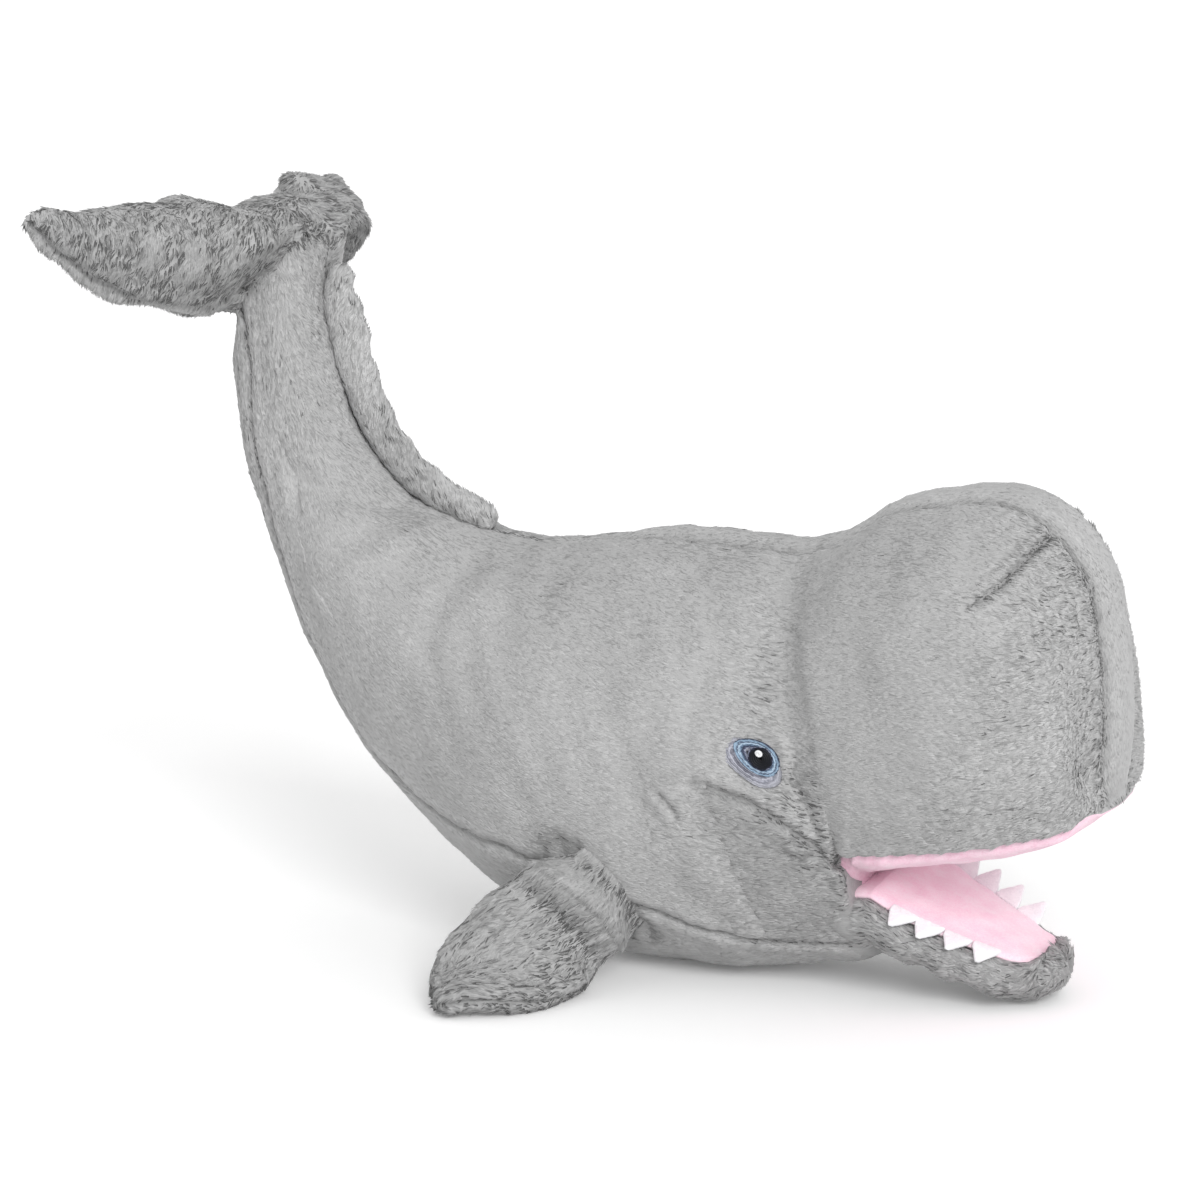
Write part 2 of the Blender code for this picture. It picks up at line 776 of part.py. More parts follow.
def make_flipper(name, side, root):
    # The right flipper is built and mirrored for the left side.
    hinge = flipper_hinge(-1)
    axis = flipper_axis(-1)
    first = unit(flipper_shares[0, :3])
    rows = []
    for degrees in flipper_root_degrees:
        turn = math.radians(degrees)
        middle = -first * flipper_root_radius * math.cos(turn)
        rows.append((*middle, *axis, flipper_half_chord, flipper_root_radius * math.sin(turn)))
    for row in flipper_shares:
        middle = row[:3] * flipper_length
        chord = row[6] * flipper_half_chord
        rows.append((*middle, *unit(row[3:6]), chord, row[7] * flipper_root_radius))
    rows = np.array(rows)
    last = len(rows) - 1

    def flipper_point(station, angle):
        station, angle = np.broadcast_arrays(np.asarray(station, float), np.asarray(angle, float))
        row = spline(rows, station)
        middle, chord = row[..., :3], unit(row[..., 3:6])
        step = 0.05
        run = spline(rows, station + step)[..., :3] - spline(rows, station - step)[..., :3]
        face = unit(np.cross(chord, run))
        rise = signed_power(np.cos(angle), 2 / limb_squareness) * row[..., 6]
        reach = signed_power(np.sin(angle), 2 / limb_squareness) * row[..., 7]
        return hinge + middle - chord * rise[..., None] + face * reach[..., None]

    flipper = Form(flipper_point, last)
    pivot = make_pivot(f"flipper_{name}_hinge", hinge * (1, -side, 1), root)

    def place(part, shape, color, roughness):
        made = shape if side < 0 else mirrored(shape)
        make_piece(f"flipper_{name}_{part}", made, color, roughness, pivot)

    stations = np.arange(last + 1)
    front = flipper.panel(stations, lambda s: math.pi, lambda s: 2 * math.pi, limb_columns)
    back = flipper.panel(stations, lambda s: 0, lambda s: math.pi, limb_columns)
    place("upper", front, gray_plush, 0.95)
    place("lower", back, gray_plush, 0.95)
    ring = np.linspace(0, 2 * math.pi, 2 * limb_columns, endpoint=False)
    place("filling", flipper.filling(stations[1:-1], lambda station: ring), white_fibre, 1)
    return pivot


# Fluke.


def fluke_hinge():
    return np.array([fluke_hinge_shares[0] * torso_length, 0, fluke_hinge_shares[1] * torso_height])


def make_fluke(root):
    hinge = fluke_hinge()
    pivot = make_pivot("fluke_hinge", hinge, root)
    lobe = np.array([
        (
            row[0] * fluke_half_span,
            row[1] * fluke_sweep,
            row[2] * fluke_rise,
            row[3] * fluke_root_radius,
            row[4] * fluke_root_radius,
            row[5] * fluke_root_radius,
        )
        for row in fluke_shares
    ])
    other = lobe[::-1] * (-1, 1, 1, 1, 1, 1)
    rows = np.concatenate([other, lobe])
    last = len(rows) - 1

    def fluke_point(station, angle):
        station, angle = np.broadcast_arrays(np.asarray(station, float), np.asarray(angle, float))
        across, edge, rise, chord, front, back = np.moveaxis(spline(rows, station), -1, 0)
        reach = np.sin(angle)
        height = rise + chord * signed_power(np.cos(angle), 2 / fluke_squareness)
        depth = np.where(reach > 0, front, back) * signed_power(reach, 2 / fluke_squareness)
        depth = edge + depth
        return hinge + np.stack([depth, across, height], -1)

    fluke = Form(fluke_point, last)
    stations = np.arange(last + 1)
    front = fluke.panel(stations, lambda s: 0, lambda s: math.pi, fluke_columns)
    back = fluke.panel(stations, lambda s: math.pi, lambda s: 2 * math.pi, fluke_columns)
    make_piece("fluke_front_panel", front, gray_plush, 0.95, pivot)
    make_piece("fluke_back_panel", back, gray_plush, 0.95, pivot)
    ring = np.linspace(0, 2 * math.pi, 2 * fluke_columns, endpoint=False)
    fluke_inside = fluke.filling(stations[1:-1], lambda station: ring)
    make_piece("fluke_filling", fluke_inside, white_fibre, 1, pivot)
    return pivot


# Sockets that the limbs turn in, and the flat that the toy rests on.


def cut_sockets(root, floor):
    pieces = {thing.name: thing for thing in toy.objects}
    jaw_cutter = make_round_cutter(
        "jaw_socket_cutter",
        jaw_hinge(),
        (0, 1, 0),
        jaw_root_radius + joint_clearance,
        jaw_half_width + joint_clearance,
        root,
    )
    for name in ["body_filling", "head_filling", "belly_gusset", "palate_lining",
                 "cheek_panel_right", "cheek_panel_left", "side_panel_right", "side_panel_left"]:
        cut(pieces[name], jaw_cutter)
    fluke_cutter = make_round_cutter(
        "fluke_socket_cutter",
        fluke_hinge(),
        (0, 1, 0),
        fluke_root_radius + joint_clearance,
        torso_half_width,
        root,
    )
    for name in ["tail_filling", "belly_gusset", "side_panel_right", "side_panel_left"]:
        cut(pieces[name], fluke_cutter)
    for name, side in [("right", -1), ("left", 1)]:
        flipper_cutter = make_round_cutter(
            f"flipper_{name}_socket_cutter",
            flipper_hinge(side),
            flipper_axis(side),
            flipper_root_radius + joint_clearance,
            flipper_half_chord + socket_end_clearance,
            root,
        )
        for piece in ["body_filling", "belly_gusset", f"side_panel_{name}"]:
            cut(pieces[piece], flipper_cutter)

    def box():
        middle = (torso_length / 2, 0, floor - cutter_overrun / 2)
        bpy.ops.mesh.primitive_cube_add(size=1, location=middle)

    floor_cutter = make_cutter(box, "rest_flat_cutter", root)
    floor_cutter.scale = (torso_length, 2 * torso_half_width, cutter_overrun)
    cut(pieces["belly_gusset"], floor_cutter)


def center_on_origin(root, floor):
    # The origin lies under the middle of the toy's box, on the surface it rests on.
    bpy.context.view_layer.update()
    places = []
    for thing in toy.objects:
        if thing.type == "MESH":
            places += [thing.matrix_world @ blender_vector(corner) for corner in thing.bound_box]
    ends = [place.x for place in places]
    root.location.x = -(min(ends) + max(ends)) / 2
    root.location.z = -floor


def main():
    start_scene()
    root = make_pivot("whale_root", (0, 0, 0))
    belly = make_torso(root)
    floor = belly[0][:, 2].min() + rest_flat_depth
    make_fillings(root)
    make_ridge(root)
    make_eye("right", -1, root)
    make_eye("left", 1, root)
    make_jaw(root)
    make_flipper("right", -1, root)
    make_flipper("left", 1, root)
    make_fluke(root)
    cut_sockets(root, floor)
    center_on_origin(root, floor)


main()
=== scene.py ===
import json
import math

import bpy
import numpy as np
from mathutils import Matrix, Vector


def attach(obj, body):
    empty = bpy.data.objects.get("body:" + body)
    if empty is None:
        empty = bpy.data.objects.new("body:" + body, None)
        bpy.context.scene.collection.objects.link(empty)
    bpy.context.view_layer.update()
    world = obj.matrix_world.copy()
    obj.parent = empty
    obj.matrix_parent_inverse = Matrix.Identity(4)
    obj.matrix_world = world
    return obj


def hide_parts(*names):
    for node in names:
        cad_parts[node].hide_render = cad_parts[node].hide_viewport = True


# Plush sperm whale. Sewn panels of short grey plush over fibre, a pink fleece mouth, felt
# teeth and embroidered eyes. Nose along +X, whale's right side at -Y, belly on the floor.

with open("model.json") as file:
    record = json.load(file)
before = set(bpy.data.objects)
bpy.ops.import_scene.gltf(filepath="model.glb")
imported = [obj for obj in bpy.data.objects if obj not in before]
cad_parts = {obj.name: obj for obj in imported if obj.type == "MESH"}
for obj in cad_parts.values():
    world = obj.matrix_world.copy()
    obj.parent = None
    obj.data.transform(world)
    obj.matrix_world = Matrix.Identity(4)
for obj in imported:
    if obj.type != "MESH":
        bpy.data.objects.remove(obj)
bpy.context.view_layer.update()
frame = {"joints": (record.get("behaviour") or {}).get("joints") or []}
mm = 0.001
mirror = np.array([1, -1, 1])
bothSides = ((-1, "right"), (1, "left"))


def hingePlace(name):
    # Where a joint of the frame sits, in metres.
    return np.array(next(joint for joint in frame["joints"] if joint["name"] == name)["pos_m"])


def splineRows(rows, station):
    # Catmull-Rom curve through the rows, held at both ends. Works for whole arrays of stations.
    rows = np.asarray(rows, float)
    flat = rows.ndim == 1
    if flat:
        rows = rows[:, None]
    last = len(rows) - 1
    station = np.clip(np.asarray(station, float), 0, last)
    start = np.minimum(station.astype(int), last - 1)
    part = (station - start)[..., None]
    before = np.where((start == 0)[..., None], 2 * rows[0] - rows[1], rows[np.maximum(start - 1, 0)])
    after = np.where((start == last - 1)[..., None], 2 * rows[last] - rows[last - 1],
                     rows[np.minimum(start + 2, last)])
    here, there = rows[start], rows[start + 1]
    cubic = -before + 3 * here - 3 * there + after
    square = 2 * before - 5 * here + 4 * there - after
    value = 0.5 * (2 * here + (there - before) * part + square * part**2 + cubic * part**3)
    return value[..., 0] if flat else value


def unit(vectors):
    vectors = np.asarray(vectors, float)
    return vectors / np.maximum(np.linalg.norm(vectors, axis=-1, keepdims=True), 1e-12)


def signedPower(value, power):
    # The power of the size, with the sign kept, which squares off a cosine or sine.
    return np.sign(value) * np.abs(value) ** power


def clamp(values):
    return np.clip(values, 0, 1)


def smooth(share):
    # Cubic ease: 0 to 1 with level ends.
    return share * share * (3 - 2 * share)


def hump(values, centre, width):
    # A bell: 1 at the centre, falling off on both sides.
    return np.exp(-((values - centre) / width) ** 2)


def between(values, low, high, fade):
    # 1 between two values, falling smoothly to 0 over the fade beyond them.
    rise = clamp((values - low) / fade + 1)
    fall = clamp((high - values) / fade + 1)
    return smooth(np.minimum(rise, fall))


def fullTurn(count):
    return np.linspace(0, 2 * math.pi, count, endpoint=False)


def paired(station, angle):
    # Both as arrays of one shape.
    return np.broadcast_arrays(np.asarray(station, float), np.asarray(angle, float))


def softNoise(points, size, seed):
    # Smooth noise of about -1 to 1: sixteen sine waves in random directions, each with a
    # wavelength near the size given, added up and scaled.
    random = np.random.default_rng(seed)
    directions = unit(random.normal(size=(16, 3)))
    pitch = 2 * math.pi / (size * random.uniform(0.7, 1.5, 16))
    phases = random.uniform(0, 2 * math.pi, 16)
    return np.sin(points @ directions.T * pitch + phases).sum(-1) / 4


def streakNoise(along, across, seed):
    # Streaks about 3 mm long and 0.8 mm wide over a cloth's own two lengths in mm: fourteen
    # plane waves, drawn short across the nap and long along it, added up and scaled.
    random = np.random.default_rng(seed)
    total = np.zeros_like(along)
    for _ in range(14):
        pitch = random.normal(size=2) * (0.7, 2.6)
        total += np.sin(along * pitch[0] + across * pitch[1] + random.uniform(0, 2 * math.pi))
    return total / 2.6


def lengthsAlong(points, axis):
    # Running length in mm from the first point, along one axis of a grid.
    first = points[:1] if axis == 0 else points[:, :1]
    return np.cumsum(np.linalg.norm(np.diff(points, axis=axis, prepend=first), axis=-1), axis) / mm


def gridNormals(points, outward):
    # Cross product of the steps along the rows and the columns, on the side that the
    # outward vectors point to.
    normals = unit(np.cross(np.gradient(points, axis=0), np.gradient(points, axis=1)))
    return normals * np.sign((normals * outward).sum(-1).mean())


def clustered(count, tightness):
    # Shares from 0 to 1 that lie closer together near both ends, where seams are.
    share = np.linspace(0, 1, count + 1)
    return share - tightness * np.sin(2 * math.pi * share) / (2 * math.pi)


def roundEnds(surface, last, startLength, endLength):
    # The same surface with both ends closed: past an end the ring shrinks to a point along
    # a quarter ellipse whose depth is the length given.
    turns, ends, inset = fullTurn(24), {}, 0.15
    for key, station, inner in (("start", 0.0, inset), ("end", float(last), last - inset)):
        centre = surface(np.full_like(turns, station), turns).mean(0)
        inside = surface(np.full_like(turns, inner), turns).mean(0)
        ends[key] = (centre, unit(centre - inside))

    def closed(station, angle):
        station, angle = paired(station, angle)
        points = surface(np.clip(station, 0, last), angle)
        for key, past, length in (("start", -station, startLength), ("end", station - last, endLength)):
            past = clamp(past)[..., None]
            centre, outward = ends[key]
            capped = centre + (points - centre) * np.sqrt(1 - past**2) + outward * past * length
            points = np.where(past > 0, capped, points)
        return points

    return closed


def makeObject(name, points, faceSets, material, uv=None, slots=None, normals=None):
    # Puts arrays of points and faces (each set an array of triangles or of quads) in a mesh.
    mesh = bpy.data.meshes.new(name)
    corners = np.concatenate([faces.ravel() for faces in faceSets]).astype(np.int32)
    sizes = np.concatenate([np.full(len(faces), faces.shape[1]) for faces in faceSets])
    starts = np.concatenate([[0], np.cumsum(sizes)[:-1]]).astype(np.int32)
    mesh.vertices.add(len(points))
    mesh.vertices.foreach_set("co", np.ascontiguousarray(points, np.float32).ravel())
    mesh.loops.add(len(corners))
    mesh.loops.foreach_set("vertex_index", corners)
    mesh.polygons.add(len(sizes))
    mesh.polygons.foreach_set("loop_start", starts)
    if uv is not None:
        layer = mesh.uv_layers.new(name="clothMap")
        layer.data.foreach_set("uv", np.ascontiguousarray(uv[corners], np.float32).ravel())
    for entry in material if isinstance(material, (list, tuple)) else [material]:
        mesh.materials.append(entry)
    if slots is not None:
        mesh.polygons.foreach_set("material_index", slots.astype(np.int32))
    mesh.update(calc_edges=True)
    mesh.shade_smooth()
    if normals is not None:
        mesh.normals_split_custom_set_from_vertices(normals)
    made = bpy.data.objects.new(name, mesh)
    bpy.context.scene.collection.objects.link(made)
    return made


def signedVolume(points, faceSets):
    # A sixth of the triple products of the faces' corners, each face cut into a fan.
    total = 0.0
    for faces in faceSets:
        for third in range(2, faces.shape[1]):
            a, b, c = points[faces[:, 0]], points[faces[:, third - 1]], points[faces[:, third]]
            total += float((np.cross(a, b) * c).sum())
    return total / 6


def clothPanel(name, outer, inner, kept, uv, material):
    # A closed sheet between two grids of points. Cells that aren't kept are left out, and the
    # rim joins the two grids along every edge that only one kept cell has.
    rows, columns = outer.shape[:2]
    size = rows * columns
    index = np.arange(size).reshape(rows, columns)
    a, b, c, d = index[:-1, :-1], index[:-1, 1:], index[1:, 1:], index[1:, :-1]
    top = np.stack([a, b, c, d], -1)[kept]
    padded = np.zeros((rows + 1, columns + 1), bool)
    padded[1:-1, 1:-1] = kept
    rims = []
    above, below = padded[:-1, 1:-1], padded[1:, 1:-1]
    before, after = padded[1:-1, :-1], padded[1:-1, 1:]
    for chosen, down, over, turned in ((below & ~above, 0, 1, False), (above & ~below, 0, 1, True),
                                       (after & ~before, 1, 0, True), (before & ~after, 1, 0, False)):
        row, column = np.nonzero(chosen)
        first, second = index[row, column], index[row + down, column + over]
        if turned:
            first, second = second, first
        rims.append(np.stack([second, first, first + size, second + size], -1))
    faces = np.concatenate([top, top[:, ::-1] + size] + rims)
    points = np.concatenate([outer.reshape(-1, 3), inner.reshape(-1, 3)])
    used, fresh = np.unique(faces, return_inverse=True)
    points, faces = points[used], fresh.reshape(faces.shape)
    flat = np.concatenate([uv.reshape(-1, 2)] * 2)[used]
    if signedVolume(points, [faces]) < 0:
        faces = faces[:, ::-1]
    return makeObject(name, points, [faces], material, flat)


def tubeMesh(name, rings, material, uv=None):
    # A closed solid through rings of points, with a fan to the middle of each end.
    rings = np.asarray(rings, float)
    count, sides = rings.shape[:2]
    index = np.arange(count * sides).reshape(count, sides)
    after = np.roll(index, -1, axis=1)
    quads = np.stack([index[:-1], after[:-1], after[1:], index[1:]], -1).reshape(-1, 4)
    ends = count * sides
    first = np.stack([np.full(sides, ends), after[0], index[0]], -1)
    last = np.stack([np.full(sides, ends + 1), index[-1], after[-1]], -1)
    points = np.concatenate([rings.reshape(-1, 3), rings[:1].mean(1), rings[-1:].mean(1)])
    sets = [quads, np.concatenate([first, last])]
    if signedVolume(points, sets) < 0:
        sets = [faces[:, ::-1] for faces in sets]
    if uv is not None:
        uv = np.concatenate([uv.reshape(-1, 2), uv.reshape(-1, 2)[:2]])
    return makeObject(name, points, sets, material, uv)


def assign(made, body, node):
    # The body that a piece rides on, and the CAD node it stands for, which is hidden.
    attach(made, body)
    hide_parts(node)


def hexColour(text):
    # sRGB hex to the linear values that a shader takes.
    values = np.array([int(text[i:i + 2], 16) / 255 for i in (1, 3, 5)])
    linear = np.where(values <= 0.04045, values / 12.92, ((values + 0.055) / 1.055) ** 2.4)
    return (*[float(value) for value in linear], 1.0)


def addNode(material, kind, settings=None, inputs=None):
    # One node of a material or world with its settings, its input values and its links: a
    # link is (node, output).
    node = material.node_tree.nodes.new(kind)
    for key, value in (settings or {}).items():
        setattr(node, key, value)
    for key, value in (inputs or {}).items():
        if isinstance(value, tuple) and isinstance(value[0], bpy.types.Node):
            material.node_tree.links.new(value[0].outputs[value[1]], node.inputs[key])
        else:
            node.inputs[key].default_value = value
    return node


def newMaterial(name, colour, **values):
    # A material with its shader's colour and other inputs set.
    material = bpy.data.materials.new(name)
    material.use_nodes = True
    shader = material.node_tree.nodes["Principled BSDF"]
    shader.inputs["Base Color"].default_value = hexColour(colour)
    for key, value in values.items():
        shader.inputs[key.replace("_", " ")].default_value = value
    return material, shader


def rampNode(material, source, stops):
    # Colour ramp through (place, hex colour) stops.
    ramp = addNode(material, "ShaderNodeValToRGB", None, {"Fac": source})
    marks = ramp.color_ramp.elements
    while len(marks) < len(stops):
        marks.new(0.5)
    for mark, (place, colour) in zip(marks, stops):
        mark.position = place
        mark.color = hexColour(colour)
    return ramp


def clothNoise(material, shader, fine, patchScale, fineShare, stops, bumpStrength, bumpDepth):
    # Tones that follow fine noise mixed with broad patches, and bumps from the fine noise.
    place = addNode(material, "ShaderNodeTexCoord")
    patches = addNode(material, "ShaderNodeTexNoise", None,
                      {"Vector": (place, "Object"), "Scale": patchScale, "Detail": 2.0})
    broad = addNode(material, "ShaderNodeMath", {"operation": "MULTIPLY"},
                    {0: (patches, "Fac"), 1: 1 - fineShare})
    total = addNode(material, "ShaderNodeMath", {"operation": "MULTIPLY_ADD"},
                    {0: (fine, "Fac"), 1: fineShare, 2: (broad, "Value")})
    colour = rampNode(material, (total, "Value"), stops)
    bump = addNode(material, "ShaderNodeBump", None,
                   {"Height": (fine, "Fac"), "Strength": bumpStrength, "Distance": bumpDepth})
    links = material.node_tree.links
    links.new(colour.outputs["Color"], shader.inputs["Base Color"])
    links.new(bump.outputs["Normal"], shader.inputs["Normal"])
    return material


def plushBacking(name, dark, middle, light):
    # Knitted ground of short polyester plush: matt, with the roots of the pile showing as
    # streaks 3 mm long and 0.7 mm wide that follow the nap, and broad brushed patches.
    material, shader = newMaterial(name, middle, Roughness=0.92, Specular_IOR_Level=0.15,
                                   Sheen_Weight=0.25, Sheen_Roughness=0.5)
    cloth = addNode(material, "ShaderNodeUVMap", {"uv_map": "clothMap"})
    streakScale = addNode(material, "ShaderNodeMapping", None,
                          {"Vector": (cloth, "UV"), "Scale": (1 / 3.0, 1 / 0.7, 1.0)})
    streaks = addNode(material, "ShaderNodeTexNoise", None,
                      {"Vector": (streakScale, "Vector"), "Scale": 1.0, "Detail": 3.0,
                       "Roughness": 0.6})
    stops = [(0.30, dark), (0.5, middle), (0.68, light)]
    return clothNoise(material, shader, streaks, 45.0, 0.65, stops, 0.6, 0.6 * mm)


greyBacking = plushBacking("greyPlushBacking", "#9d9d9d", "#adadad", "#b8b8b8")
# A darker copy of the same backing: painted shade for the cheeks and the jaw's cover.
shadedBacking = plushBacking("greyPlushBackingShaded", "#8b8b8b", "#9d9d9d", "#a9a9a9")


def pileTones(name, tones):
    # Free ends of polyester plush pile. Each fibre bundle is one tone from root to tip, matt
    # with a faint sheen, so a whole number of plain tones gives the brushed variation and the
    # painted shade; the darkest tone is painted shade for creases and seams.
    return [newMaterial(f"{name}{number + 1}", tone, Roughness=0.85, Specular_IOR_Level=0.2,
                        Sheen_Weight=0.3, Sheen_Roughness=0.4)[0] for number, tone in enumerate(tones)]


greyPile = pileTones("greyPlushPile", ["#6e6e6e", "#9f9f9f", "#b7b7b7", "#c1c1c1", "#c8c8c8"])
# A darker copy of the same pile: painted shade for the cheeks, the jaw, the flippers and the front of
# the fluke.
shadedPile = pileTones("greyPlushPileShaded", ["#626262", "#8d8d8d", "#a6a6a6", "#b1b1b1", "#bababa"])


def fleece(name, dark, middle, light):
    # Short velour fleece: matt and soft, a fine fuzz of 0.6 mm grains over faint patches.
    material, shader = newMaterial(name, middle, Roughness=0.95, Specular_IOR_Level=0.1,
                                   Sheen_Weight=0.4, Sheen_Roughness=0.5)
    place = addNode(material, "ShaderNodeTexCoord")
    grain = addNode(material, "ShaderNodeTexNoise", None,
                    {"Vector": (place, "Object"), "Scale": 1400.0, "Detail": 3.0, "Roughness": 0.6})
    stops = [(0.35, dark), (0.5, middle), (0.65, light)]
    return clothNoise(material, shader, grain, 140.0, 0.5, stops, 0.5, 0.5 * mm)


pinkFleece = fleece("pinkVelourFleece", "#f1c2d5", "#f6cfdf", "#fadce8")
# A lighter copy of the pink fleece for the jaw's floor: painted light against the shade inside the
# mouth.
litPinkFleece = fleece("litPinkVelourFleece", "#f9d5e4", "#fce2ec", "#fdecf3")
whiteFelt = fleece("whiteCraftFelt", "#ececef", "#f5f5f7", "#fcfcfd")
fibreFill = fleece("polyesterFibreFill", "#dcdcda", "#ebebe9", "#f7f7f6")


# The pile is thousands of tufts on the grid of each surface.
pileShape = {
    "tuftsPerSquareMm": 1.68,
    "lengthMm": 2.7,
    "widthMm": 0.65,
    "thicknessMm": 0.3,
    "rootDepthMm": 0.15,
    "liftDegrees": 6.0,
    "liftSpread": 4.5,
    "liftScatter": 2.5,
    "yawSpread": 4.5,
    "clumpYaw": 11.0,
    "clumpSizeMm": 4.5,
    "patchSizeMm": 38.0,
    "seamGapMm": 0.7,
    # Steps of painted shade on the tufts beside a seam.
    "seamShade": 1.0,
    "toneSteps": (-1.75, -0.95, 0.0, 0.85),
    "quickShare": 0.45,
    "mostPerPiece": 48000,
}


def growPile(name, points, normals, nap, kept, guide, seed, body, slotName, tones, **changes):
    # Tufts on the kept cells of a grid. Each cell gets as many as its area asks for. A tuft
    # is a closed spike of four triangles: a flat root square to the nap, and a tip at
    # root + length * (cos(lift) * nap + sin(lift) * normal). Nap and lift wander with noise.
    # The guide holds, for each grid point, both lengths over the cloth in mm, the distance
    # to the nearest seam in mm, how rough the coat is (1 for brushed, 2 for ruffled), and
    # how many steps of tone darker the pile is painted there, as painted shade, or lighter
    # where it is below zero, as painted light.
    look = {**pileShape, **changes}
    random = np.random.default_rng(seed)
    a, b = points[:-1, :-1], points[:-1, 1:]
    c, d = points[1:, 1:], points[1:, :-1]
    area = (np.linalg.norm(np.cross(b - a, d - a), axis=-1)
            + np.linalg.norm(np.cross(b - c, d - c), axis=-1)) / 2 / mm**2
    density = look["tuftsPerSquareMm"] * 1.0
    counts = np.floor(area * kept * density + random.random(area.shape)).astype(int).ravel()
    cell = np.repeat(np.arange(counts.size), counts)
    row, column = np.divmod(cell, area.shape[1])
    down, over = random.random(len(cell))[:, None], random.random(len(cell))[:, None]

    def at(values):
        first = values[row, column] * (1 - over) + values[row, column + 1] * over
        second = values[row + 1, column] * (1 - over) + values[row + 1, column + 1] * over
        return first * (1 - down) + second * down

    lengthwise, crosswise, seam, rough, shade = at(guide).T
    streak = streakNoise(lengthwise, crosswise, seed + 4)
    worn = random.random(len(cell)) < np.clip((-streak - 1.0) * rough, 0, 0.85)
    chosen = (seam > look["seamGapMm"]) & ~worn
    row, column, down, over = row[chosen], column[chosen], down[chosen], over[chosen]
    streak, seam, rough, shade = streak[chosen], seam[chosen], rough[chosen], shade[chosen]
    root, normal, along = at(points), unit(at(normals)), at(nap)
    along = unit(along - normal * (along * normal).sum(-1, keepdims=True))
    side = np.cross(normal, along)
    clump = softNoise(root, look["clumpSizeMm"] * mm, seed + 1)
    patch = softNoise(root, look["patchSizeMm"] * mm, seed + 2)
    rise = softNoise(root, look["clumpSizeMm"] * 0.8 * mm, seed + 3)
    wander = random.normal(size=(3, len(root)))
    yaw = np.radians(clump * look["clumpYaw"] * rough + wander[0] * look["yawSpread"])[:, None]
    along = along * np.cos(yaw) + side * np.sin(yaw)
    side = np.cross(normal, along)
    lift = look["liftDegrees"] * rough + rise * look["liftSpread"] * rough
    lift = lift + wander[1] * look["liftScatter"]
    lift = np.radians(np.clip(lift, 1.5, 60))[:, None]
    reach = along * np.cos(lift) + normal * np.sin(lift)
    length = look["lengthMm"] * random.uniform(0.75, 1.2, len(root)) * np.clip(0.4 + seam / 4, 0.4, 1)
    width = look["widthMm"] * mm * random.uniform(0.75, 1.2, len(root))[:, None]
    top = root + normal * look["thicknessMm"] * mm
    low = root - normal * look["rootDepthMm"] * mm
    tip = root + reach * length[:, None] * mm
    spikes = np.stack([low + side * width / 2, low - side * width / 2, top, tip], 1)
    shading = np.stack([normal + side * 0.8, normal - side * 0.8, normal, normal + reach * 0.3], 1)
    # The tone is random streaks and patches, less the guide's painted shade and painted shade beside
    # each seam.
    tone = (streak * 0.36 + rise * 0.15) * rough**2 + patch * 0.22 + wander[2] * 0.3 - shade
    tone = tone - look["seamShade"] * hump(seam, look["seamGapMm"], 1.5)
    tone = np.digitize(tone, look["toneSteps"])
    order = np.array([[0, 3, 1], [0, 1, 2], [0, 2, 3], [1, 3, 2]])
    parts = max(1, math.ceil(len(root) / look["mostPerPiece"]))
    for part, group in enumerate(np.array_split(np.arange(len(root)), parts)):
        faces = (order[None] + 4 * np.arange(len(group))[:, None, None]).reshape(-1, 3)
        title = name if parts == 1 else f"{name}{part + 1}"
        pile = makeObject(title, spikes[group].reshape(-1, 3), [faces], tones,
                          slots=np.repeat(tone[group], 4), normals=unit(shading[group].reshape(-1, 3)))
        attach(pile, body)


def coatGuide(guide, roughness, shade):
    # Adds how rough the coat is and how many steps of painted shade it takes to the lengths
    # and the seam distance.
    looks = [np.broadcast_to(value, guide.shape[:2])[..., None] for value in (roughness, shade)]
    return np.concatenate([guide] + looks, -1)


